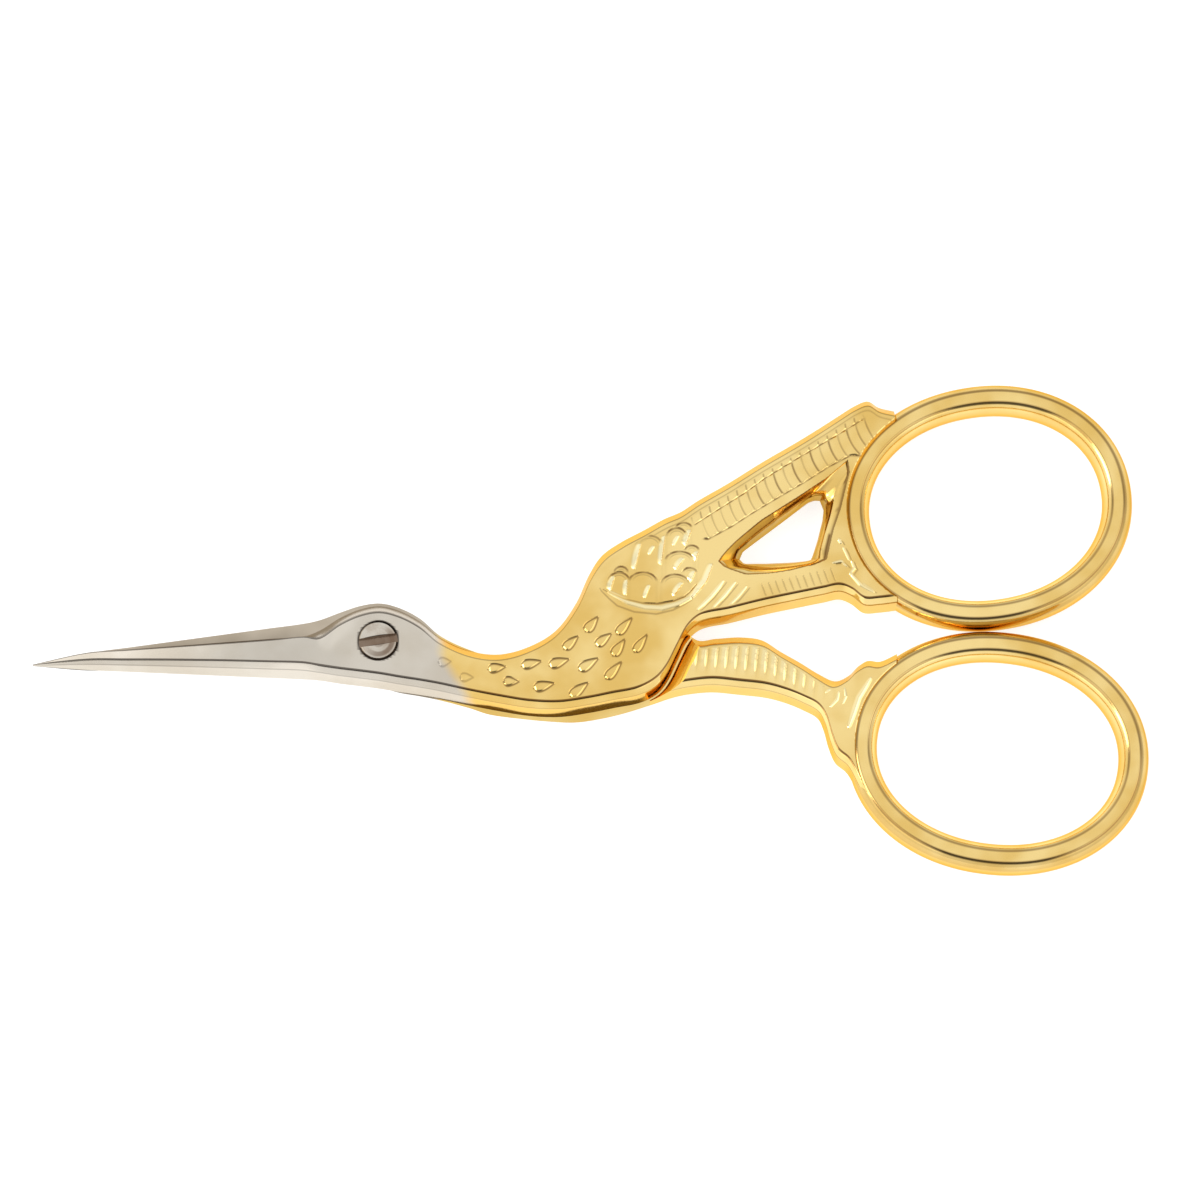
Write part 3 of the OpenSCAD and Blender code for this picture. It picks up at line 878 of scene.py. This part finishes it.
def offset_outline(pairs, clearance):
    """Plan of a half between its two sides, grown by the clearance"""
    rows = smooth(pairs, 0.5)
    outline = np.vstack([rows[:, 0:2], rows[::-1, 2:4]])
    after = np.roll(outline, -1, axis=0)
    way = after - np.roll(outline, 1, axis=0)
    normal = np.stack([way[:, 1], -way[:, 0]], axis=1)
    normal = normal / np.maximum(np.linalg.norm(normal, axis=1, keepdims=True), 1e-6)
    area = np.sum(outline[:, 0] * after[:, 1] - after[:, 0] * outline[:, 1])
    return outline + normal * (clearance if area > 0 else -clearance)


def ring_space(ring):
    """Space inside a ring up to the middle of its metal, which the handle must not enter"""
    x, y = ring_outline(ring, np.linspace(0, 2 * math.pi, SPACE_POINTS, endpoint=False))
    return prism("ring_space", [list(zip(x, y))] * 2, [-1, FACE_Z + 1])


def resampled(points, count):
    """Points evenly spaced along a line, without its last one"""
    points = np.array(points, float)
    run = np.concatenate([[0], np.cumsum(np.linalg.norm(np.diff(points, axis=0), axis=1))])
    at = np.linspace(0, run[-1], count, endpoint=False)
    return np.stack([np.interp(at, run, points[:, k]) for k in (0, 1)], axis=1)


# The wing's opening: three edges at the face and three in the middle of the metal
RIM_EDGES = [
    [
        (27.1, 6.45), (27.55, 7.1), (28.45, 8.05), (30.5, 9.8), (33.6, 11.8), (35.9, 13.35),
        (37.5, 14.75),
    ],
    [(37.5, 14.75), (37.65, 13.8), (37.35, 12.6), (36.9, 10.75), (36.3, 9), (35.75, 6.6)],
    [(35.75, 6.6), (34.9, 6.2), (32.85, 5.7), (31.2, 5.45), (29.3, 5.35), (28, 5.8), (27.2, 6.2)],
]
HOLE_EDGES = [
    [(28.85, 7), (29.1, 7.6), (30.4, 8.6), (32.5, 10.2), (34.3, 11.65), (35, 11.95)],
    [(35.3, 11.8), (35.6, 11), (35.5, 10.2), (35.1, 8.6), (34.6, 7)],
    [(34.5, 6.9), (33, 6.75), (31, 6.65), (29.3, 6.65), (28.9, 6.8)],
]
# Walls of the opening, from the middle of the metal to the face: height over the middle, and
# share of the way out; for the wing's, the ring's and the shank's side and the top corner
OPENING_WALLS = [
    [(0, 0), (0.8, 0.2), (1.2, 0.42), (1.35, 0.55), (1.84, 0.96), (2, 1.04)],
    [(0, 0), (0.8, 0.12), (1.2, 0.26), (1.5, 0.38), (1.64, 0.46), (1.9, 1), (2, 1.2)],
    [(0, 0), (0.8, 0.25), (1.2, 0.45), (1.5, 0.62), (1.7, 0.78), (1.84, 0.95), (2, 1.04)],
    [(0, 0), (1.3, 0.12), (1.5, 0.2), (1.64, 0.55), (1.72, 0.92), (1.9, 1), (2, 1.02)],
]
# Painted shade on those walls at each height: deep in the middle of the metal and a line at the
# rim
OPENING_PAINTED_SHADE = [(0, 0.5), (1, 0.35), (1.3, 0), (1.78, 0), (1.86, 0.8), (2, 0.8)]
OPENING_HEIGHTS = (2, 1.9, 1.86, 1.8, 1.72, 1.64, 1.5, 1.35, 1.2, 1, 0.8, 0.4)
# Where along the rim one side's wall turns into the next
OPENING_TURNS = (
    (0, 0), (0.84, 0), (0.92, 3), (1.1, 3), (1.2, 1), (1.9, 1), (2.1, 2), (2.85, 2), (3, 0),
)
EDGE_POINTS = 24
BORE_RADIUS = HEAD_DIAMETER / 2 + HEAD_CLEARANCE
# Widening of the bore's rim, and the shank's clearance in the front half
BORE_FLARE = 0.08
SHANK_CLEARANCE = 0.05


def triangle_cutter():
    """Opening between wing and leg, wider at both faces than in the middle"""
    rim = opening_edge(RIM_EDGES)
    hole = opening_edge(HOLE_EDGES)
    side = np.arange(len(rim)) / EDGE_POINTS
    below = []
    for height in OPENING_HEIGHTS:
        shares = [np.interp(height, *zip(*wall)) for wall in OPENING_WALLS]
        share = np.interp(side, *zip(*[(at, shares[wall]) for at, wall in OPENING_TURNS]))
        below.append((hole + (rim - hole) * share[:, None], height))
    levels = [level for level, _ in below] + [hole] + [level for level, _ in below[::-1]]
    rises = [-height for _, height in below] + [0.0] + [height for _, height in below[::-1]]
    return prism("triangle_cutter", levels, [SLIDE_Z + rise for rise in rises])


def paint_shade(obj, place, values):
    """Paint shade: make the metal at least as dark as values, as a function of each point's place
    in mm
    """
    mesh = obj.data
    points = np.empty(len(mesh.vertices) * 3)
    mesh.vertices.foreach_get("co", points)
    points = points.reshape(-1, 3) / MM
    layer = mesh.attributes.get(PAINTED_LIGHT_NAME) or mesh.attributes.new(PAINTED_LIGHT_NAME, "FLOAT", "POINT")
    painted_light = np.empty(len(points))
    layer.data.foreach_get("value", painted_light)
    chosen = place(points[:, 0], points[:, 1])
    painted_light = np.where(chosen, np.maximum(painted_light, values(points[:, 2])), painted_light)
    layer.data.foreach_set("value", painted_light)


def within(x, y, outline):
    """Whether points lie inside an outline"""
    inside = np.zeros(x.shape, bool)
    for (x0, y0), (x1, y1) in zip(outline, np.roll(outline, -1, axis=0)):
        crosses = (y0 > y) != (y1 > y)
        if y0 != y1:
            inside ^= crosses & (x < (x1 - x0) * (y - y0) / (y1 - y0) + x0)
    return inside


def opening_edge(edges):
    """Points round the wing's opening, the same number on each of its three edges"""
    return np.vstack([resampled(edge, EDGE_POINTS) for edge in edges])


def in_opening(x, y):
    """Whether points lie in the opening or on its rim"""
    rim = opening_edge(RIM_EDGES)
    return within(x, y, rim + (rim - rim.mean(axis=0)) * 0.004)


def in_bore(x, y):
    """Whether points lie in the bore for the screw's head or on its rim"""
    return np.hypot(x, y) < BORE_RADIUS + 0.06


def front_half():
    """Front half: blade, flat, neck, body and wing, shank and ring"""
    rows = smooth(half_sections(FRONT_BLADE_BACK, 1, FRONT_PAIRS), ROW_GAP, PLAIN_ROW_GAP)
    near = forging_part("front_near", FRONT_Z, 1, rows, front_relief, FRONT_RING)
    far_pairs = inside_out(FRONT_PAIRS[len(FRONT_FLAT) + FRONT_FAR_START:])
    far_rows = smooth([plate_section(p, FAR_DEPTH) for p in far_pairs], FAR_ROW_GAP)
    far = forging_part("front_far", FRONT_Z, -1, far_rows, front_relief, FRONT_RING, FAR_COLUMNS)
    shoulder = step_cutter("shoulder_cutter", BACK_PAIRS, FRONT_Z - 0.004, -0.2)
    cut(far, shoulder)
    triangle = triangle_cutter()
    bore = stack(
        "bore_cutter", (BORE_RADIUS, FACE_Z - HEAD_DEPTH), (BORE_RADIUS, FACE_Z - 0.05),
        (BORE_RADIUS + BORE_FLARE, FACE_Z + 0.2),
    )
    shank_radius = SHANK_DIAMETER / 2 + SHANK_CLEARANCE
    shank = stack("shank_cutter", (shank_radius, 0), (shank_radius, FACE_Z))
    space = ring_space(FRONT_RING)
    cut(near, bore, shank)
    cut(near, triangle, space)
    cut(far, triangle, space)
    remove(shoulder, triangle, bore, shank, space)
    # Painted shade on the walls of the wing's opening and in the bore round the screw's head
    for part in (near, far):
        paint_shade(part, in_opening, lambda z: np.interp(abs(z - SLIDE_Z), *zip(*OPENING_PAINTED_SHADE)))
    paint_shade(near, in_bore, lambda z: np.where(z < FACE_Z + 0.01, 1.0, 0.5))
    return finished("front_half_forging", near, far, FRONT_RING)


def back_half():
    """Back half: blade, flat, shoulder under the bird's body, ribbed leg and ring"""
    rows = smooth(half_sections(BACK_BLADE_BACK, -1, inside_out(BACK_PAIRS)), PLAIN_ROW_GAP)
    near = forging_part("back_near", BACK_Z, -1, rows, None, BACK_RING, PLAIN_COLUMNS)
    far_pairs = BACK_PAIRS[len(BACK_FLAT) + BACK_FAR_START:]
    far_rows = smooth([plate_section(p, FAR_DEPTH) for p in far_pairs], ROW_GAP)
    far = forging_part("back_far", BACK_Z, 1, far_rows, back_relief, BACK_RING)
    body = step_cutter("body_cutter", FRONT_PAIRS, BACK_Z + 0.004, FACE_Z + 0.2)
    cut(far, body)
    shank = stack("shank_cutter", (SHANK_DIAMETER / 2, -1), (SHANK_DIAMETER / 2, FACE_Z))
    space = ring_space(BACK_RING)
    cut(near, shank, space)
    cut(far, space)
    remove(body, shank, space)
    return finished("back_half_forging", near, far, BACK_RING)


# The screw's lower bevel, the rings of its dome, the slot's reach, and half its width and its
# height over the face at three levels
SHANK_BEVEL = 0.12
DOME_STEPS = 14
SLOT_REACH = 2.5
SLOT_LEVELS = ((0.5, -SLOT_DEPTH), (0.5, HEAD_DOME - 0.09), (0.62, HEAD_DOME + 0.06))


def screw():
    """Pivot screw: domed, turned head with a cut slot, on a plain shank"""
    radius = HEAD_DIAMETER / 2
    shank = SHANK_DIAMETER / 2
    profile = [(0.001, 0.0), (shank - SHANK_BEVEL, 0.0), (shank, SHANK_BEVEL)]
    profile += [(shank, FACE_Z - HEAD_DEPTH), (radius, FACE_Z - HEAD_DEPTH)]
    profile += [(radius, FACE_Z - 0.16), (radius - 0.05, FACE_Z - 0.08)]
    for share in np.linspace(0.93, 0.02, DOME_STEPS):
        profile.append((radius * share, FACE_Z + HEAD_DOME * (1 - share**2)))
    levels = [circle(r, 96) for r, _ in profile]
    head = prism("pivot_screw_turned", levels, [z for _, z in profile])
    slot = []
    for half, _ in SLOT_LEVELS:
        u = SLOT_REACH
        v = half * SLOT_WIDTH
        corners = ((-u, -v), (u, -v), (u, v), (-u, v))
        slot.append([turned(*corner, SLOT_ANGLE) for corner in corners])
    cutter = prism("slot_cutter", slot, [FACE_Z + z for _, z in SLOT_LEVELS])
    cut(head, cutter)
    remove(cutter)
    shade(head, 28)
    return head


# Materials


class Nodes:
    """Short hand for building a node tree"""

    def __init__(self, tree):
        self.tree = tree
        tree.nodes.clear()

    def add(self, kind, inputs, output=0, **values):
        """One output of a new node; its inputs are numbers, colours or sockets to link"""
        node = self.tree.nodes.new(kind)
        for key, value in values.items():
            setattr(node, key, value)
        for key, value in inputs.items():
            if isinstance(value, (int, float, tuple)):
                node.inputs[key].default_value = value
            elif value is not None:
                self.tree.links.new(value, node.inputs[key])
        return node.outputs[output] if node.outputs else None

    def math(self, operation, *inputs):
        return self.add("ShaderNodeMath", dict(enumerate(inputs)), operation=operation)

    def plus(self, a, b):
        return self.math("ADD", a, b)

    def times(self, a, b):
        return self.math("MULTIPLY", a, b)

    def coordinates(self, kind):
        return self.add("ShaderNodeTexCoord", {}, kind)

    def axes(self, vector):
        return [self.add("ShaderNodeSeparateXYZ", {0: vector}, axis) for axis in "XYZ"]

    def noise(self, vector, scale, detail=4.0, roughness=0.55):
        inputs = {"Vector": vector, "Scale": scale, "Detail": detail, "Roughness": roughness}
        return self.add("ShaderNodeTexNoise", inputs, "Fac")

    def rings(self, vector, scale, distortion=0.0):
        inputs = {"Vector": vector, "Scale": scale, "Distortion": distortion}
        return self.add("ShaderNodeTexWave", inputs, "Fac", wave_type="RINGS", rings_direction="Z")

    def spread(self, value, low, high, to_low, to_high):
        """Smooth step from to_low to to_high while the value goes from low to high"""
        inputs = dict(enumerate((value, low, high, to_low, to_high)))
        return self.add("ShaderNodeMapRange", inputs, interpolation_type="SMOOTHSTEP")

    def blend(self, share, a, b):
        return self.add("ShaderNodeMix", {0: share, 6: a, 7: b}, 2, data_type="RGBA")

    def bump(self, height, strength, distance, normal=None):
        inputs = {"Height": height, "Strength": strength, "Distance": distance, "Normal": normal}
        return self.add("ShaderNodeBump", inputs)

    def metal(self, colour, rough, normal, glance=None):
        inputs = {"Metallic": 1.0, "Base Color": colour, "Roughness": rough, "Normal": normal}
        inputs["Specular Tint"] = glance
        self.show(self.add("ShaderNodeBsdfPrincipled", inputs))

    def show(self, shader, kind="ShaderNodeOutputMaterial"):
        self.add(kind, {"Surface": shader})


def new_material(name):
    """Material, and the short hand for its nodes"""
    material = bpy.data.materials.new(name)
    material.use_nodes = True
    return material, Nodes(material.node_tree)


def linear(*colour):
    """Colour from 0 to 255, all brighter than 10, as a linear one"""
    return (*[((value / 255 + 0.055) / 1.055) ** 2.4 for value in colour], 1.0)


NICKEL = linear(215, 208, 196)
NICKEL_WORN = linear(204, 195, 180)
NICKEL_GROUND = linear(196, 184, 166)
GROUND_WORN = linear(176, 163, 144)
GOLD = linear(250, 222, 150)
GOLD_DEEP = linear(232, 194, 110)
GOLD_WALL_PAINTED_SHADE = linear(234, 198, 124)
SCREW_WORN = linear(186, 172, 156)
SLOT_PAINTED_SHADE = linear(118, 96, 78)
# Painted shade in cut lines, painted highlights, and the tint of metal seen at a glancing angle
NICKEL_PAINTED_SHADE = linear(92, 84, 76)
GOLD_PAINTED_SHADE = linear(104, 64, 26)
NICKEL_PAINTED_HIGHLIGHT = linear(240, 236, 228)
GOLD_PAINTED_HIGHLIGHT = linear(255, 244, 196)
PLAIN_GLANCE = linear(246, 240, 232)
GOLD_GLANCE = linear(250, 214, 150)
# Share of the painted shade's and of the painted highlight's colour
PAINTED_SHADE_SHARE = 0.9
PAINTED_HIGHLIGHT_SHARE = 0.95
# Each half's nickel: its two tones, where the gold begins, how far across that border bends,
# and how rough the nickel is
FRONT_PLATE = {"tones": (NICKEL, NICKEL_WORN), "gold": 4.9, "bend": -1.2, "rough": 0.16}
BACK_PLATE = {"tones": (NICKEL_GROUND, GROUND_WORN), "gold": 4.6, "bend": -9.0, "rough": 0.3}
BORDER_SLOPE = 0.62
BORDER_WAVER = 0.35
BORDER_WIDTH = (-0.35, 1.0)
GOLD_ROUGH = 0.07
# Scales of the noise, per metre; the brush marks are drawn out along X
WAVER_SCALE = 900
CLOUD_SCALE = 160
SWELL_SCALE = 230
GRAIN_SCALE = 5200
BRUSH_SCALE = 9000
BRUSH_STRETCH = (0.12, 1.0, 1.0)
# Strength, and depth in metres, of the swell, the polish marks and the screw's turning
SWELL = (0.35, 0.0001)
MARKS = (0.12, 0.00001)
TURNING = (0.25, 0.00001)
# Rings on the screw's head: fine ones of the turning, and wide ones in its shade
TURNING_SCALE = 1500.0
SHADE_SCALE = 420.0
# Floor: its grey, and the light that makes it white to the camera and the metal
FLOOR_GREY = (0.42, 0.46)
FLOOR_GLOW = 0.78
FLOOR_SIZE = 1.5
FLOOR_DROP = 0.00002


def gold_border(n, place, plate):
    """Share of gold along a half, from 0 on the nickel to 1 past the wavering border"""
    x, y, _ = [n.times(axis, 1 / MM) for axis in n.axes(place)]
    lower = n.math("MAXIMUM", n.math("SUBTRACT", plate["bend"], y), 0.0)
    border = n.plus(n.times(lower, BORDER_SLOPE), plate["gold"])
    waver = n.times(n.noise(place, WAVER_SCALE, 2.0), BORDER_WAVER)
    past = n.plus(n.math("SUBTRACT", x, border), waver)
    return n.spread(past, *BORDER_WIDTH, 0.0, 1.0)


def plated_metal(name, plate):
    """Nickel blade and flat that turn to gold plate along the neck, with polish marks, the mesh's
    painted shade and painted highlights, and painted shade on steep gold walls
    """
    material, n = new_material(name)
    place = n.coordinates("Object")
    gold_share = gold_border(n, place, plate)
    cloud = n.noise(place, CLOUD_SCALE, 3.0)
    patches = n.spread(cloud, 0.35, 0.68, 0.0, 1.0)
    # Steep walls, found by the normal, take a deeper gold as painted shade
    level = n.math("ABSOLUTE", n.axes(n.coordinates("Normal"))[2])
    gold = n.blend(patches, GOLD, GOLD_DEEP)
    gold = n.blend(n.spread(level, 0.3, 0.6, 0.8, 0.0), gold, GOLD_WALL_PAINTED_SHADE)
    colour = n.blend(gold_share, n.blend(patches, *plate["tones"]), gold)
    # The mesh's painted light: painted shade above 0, painted highlight below 0
    painted_light = n.add("ShaderNodeAttribute", {}, "Fac", attribute_name=PAINTED_LIGHT_NAME, attribute_type="GEOMETRY")
    dark = n.times(n.math("MAXIMUM", painted_light, 0.0), PAINTED_SHADE_SHARE)
    colour = n.blend(dark, colour, n.blend(gold_share, NICKEL_PAINTED_SHADE, GOLD_PAINTED_SHADE))
    painted_highlight = n.times(n.math("MINIMUM", painted_light, 0.0), -PAINTED_HIGHLIGHT_SHARE)
    colour = n.blend(painted_highlight, colour, n.blend(gold_share, NICKEL_PAINTED_HIGHLIGHT, GOLD_PAINTED_HIGHLIGHT))
    drawn_out = n.add("ShaderNodeMapping", {"Vector": place, "Scale": BRUSH_STRETCH})
    brushed = n.noise(drawn_out, BRUSH_SCALE, 3.0, 0.6)
    grain = n.noise(place, GRAIN_SCALE, 3.0, 0.6)
    rough = n.plus(n.spread(cloud, 0.3, 0.7, 0.0, 0.05), n.times(grain, 0.05))
    rough = n.plus(rough, n.spread(gold_share, 0.0, 1.0, plate["rough"], GOLD_ROUGH))
    swell = n.bump(n.noise(place, SWELL_SCALE, 1.0), *SWELL)
    marks = n.bump(n.plus(brushed, n.times(grain, 0.7)), *MARKS, swell)
    n.metal(colour, rough, marks, n.blend(gold_share, PLAIN_GLANCE, GOLD_GLANCE))
    return material


def turned_metal(name):
    """Nickel of the screw, with the fine rings of its turning, and painted shade in wide rings
    towards one side of its head and in its slot
    """
    material, n = new_material(name)
    place = n.coordinates("Object")
    x, y, z = n.axes(place)
    cloud = n.noise(place, 700, 4.0)
    colour = n.blend(n.spread(cloud, 0.35, 0.7, 0.0, 1.0), NICKEL, SCREW_WORN)
    # Painted shade: wide rings darker towards one side of the head, and the slot darker under the
    # face
    across = n.math("SUBTRACT", x, y)
    wide = n.spread(n.rings(place, SHADE_SCALE), 0.2, 0.8, 0.35, 1.3)
    shaded = n.times(wide, n.spread(across, -0.0012, 0.0016, 0.0, 0.6))
    colour = n.blend(shaded, colour, SLOT_PAINTED_SHADE)
    colour = n.blend(n.spread(z, 0.00355, 0.00382, 0.85, 0.0), colour, SLOT_PAINTED_SHADE)
    marks = n.bump(n.rings(place, TURNING_SCALE, 0.6), *TURNING)
    n.metal(colour, n.spread(cloud, 0.3, 0.7, 0.14, 0.24), marks)
    return material


def floor_material():
    """White floor that the camera and the metal see as white, with a faint shadow"""
    material, n = new_material("white_floor")
    rays = [f"Is {kind} Ray" for kind in ("Camera", "Glossy", "Transmission")]
    first, second, third = [n.add("ShaderNodeLightPath", {}, ray) for ray in rays]
    seen = n.math("MAXIMUM", n.math("MAXIMUM", first, second), third)
    tone = n.spread(n.noise(n.coordinates("Object"), 40, 2.0), 0.3, 0.7, *FLOOR_GREY)
    paper = n.add("ShaderNodeCombineColor", {0: tone, 1: tone, 2: tone})
    matt = n.add("ShaderNodeBsdfDiffuse", {"Color": paper})
    glow = n.add("ShaderNodeEmission", {"Strength": n.times(seen, FLOOR_GLOW)})
    n.show(n.add("ShaderNodeAddShader", {0: matt, 1: glow}))
    return material


# Light, floor and camera: brightness of the tent's parts
BASE_LEVEL = 0.2
SIDE_LEVEL = 1.05
# Side boxes from the ground up: two heights, and the share at each
SIDE_STEPS = ((0.3, 0.45, 0.0, 1.0), (0.55, 0.7, 1.0, 2.0), (0.87, 0.94, 1.0, 0.0))
FRONT_LEVELS = (1.1, 0.85)
LEFT_LEVEL = 0.25
BACK_LEVEL = 0.9
# Heights between which the front's skirt gives way to the back's band
SKIRT = (0.4, 0.54)


def studio_world():
    """White tent over the table: a soft ceiling, side boxes, a bright front and a grey back"""
    world = bpy.data.worlds.new("white_tent")
    bpy.context.scene.world = world
    world.use_nodes = True
    n = Nodes(world.node_tree)
    x, y, up = n.axes(n.coordinates("Generated"))
    ceiling = n.spread(up, 0.8, 0.97, 0.0, 1.0)
    sides = n.spread(n.math("ABSOLUTE", x), 0.28, 0.42, 0.0, SIDE_LEVEL)
    for step in SIDE_STEPS:
        sides = n.times(sides, n.spread(up, *step))
    sides = n.times(sides, n.spread(y, 0.0, 0.3, 1.0, 0.1))
    front = n.plus(n.spread(y, -0.6, 0.2, *FRONT_LEVELS), n.spread(x, -0.6, -0.2, LEFT_LEVEL, 0.0))
    front = n.times(n.spread(up, *SKIRT, 1.0, 0.0), front)
    back = n.spread(y, 0.15, 0.4, 0.0, BACK_LEVEL)
    back = n.times(back, n.math("SUBTRACT", 1.0, ceiling))
    back = n.times(back, n.spread(up, *SKIRT, 0.0, 1.0))
    light = n.plus(ceiling, BASE_LEVEL)
    for part in (sides, back, front):
        light = n.plus(light, part)
    n.show(n.add("ShaderNodeBackground", {"Strength": light}), "ShaderNodeOutputWorld")


def lamp(name, place, aim, size, watts):
    """Square soft lamp"""
    data = bpy.data.lights.new(name, "AREA")
    data.shape = "SQUARE"
    data.size = size
    data.energy = watts
    obj = add_object(name, data)
    obj.location = place
    obj.rotation_euler = (Vector(aim) - Vector(place)).to_track_quat("-Z", "Y").to_euler()


def floor():
    """Pale floor under the scissors"""
    size = FLOOR_SIZE
    corners = [(-size, -size, 0), (size, -size, 0), (size, size, 0), (-size, size, 0)]
    obj = new_object("floor", corners, [(0, 1, 2, 3)])
    obj.location.z = -FLOOR_DROP
    obj.data.materials.append(floor_material())


def camera():
    """Camera as the photograph was taken, from above and a little from the breast's side"""
    data = bpy.data.cameras.new("camera")
    data.lens = CAMERA_LENS
    data.sensor_width = CAMERA_SENSOR
    data.clip_start = CAMERA_NEAR
    obj = add_object("camera", data)
    obj.rotation_euler = (CAMERA_TILT, 0.0, 0.0)
    back = Vector((0.0, -math.sin(CAMERA_TILT), math.cos(CAMERA_TILT)))
    obj.location = CAMERA_TARGET + back * CAMERA_REACH
    bpy.context.scene.camera = obj


def place_piece(obj, node, body, material):
    """Give a piece its material, and let it stand for its node"""
    obj.data.materials.clear()
    obj.data.materials.append(material)
    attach(obj, body)
    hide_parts(node)


camera()
place_piece(
    front_half(), "front_half", "front", plated_metal("front_plate", FRONT_PLATE),
)
place_piece(back_half(), "back_half", "back", plated_metal("back_plate", BACK_PLATE))
place_piece(screw(), "pivot_screw", "back", turned_metal("screw_nickel"))
studio_world()
floor()
lamp("side_lamp", (-0.5, -0.08, 0.42), (0.02, 0, 0), 0.3, 1.6)

scene = bpy.context.scene
scene.view_settings.view_transform = "Standard"
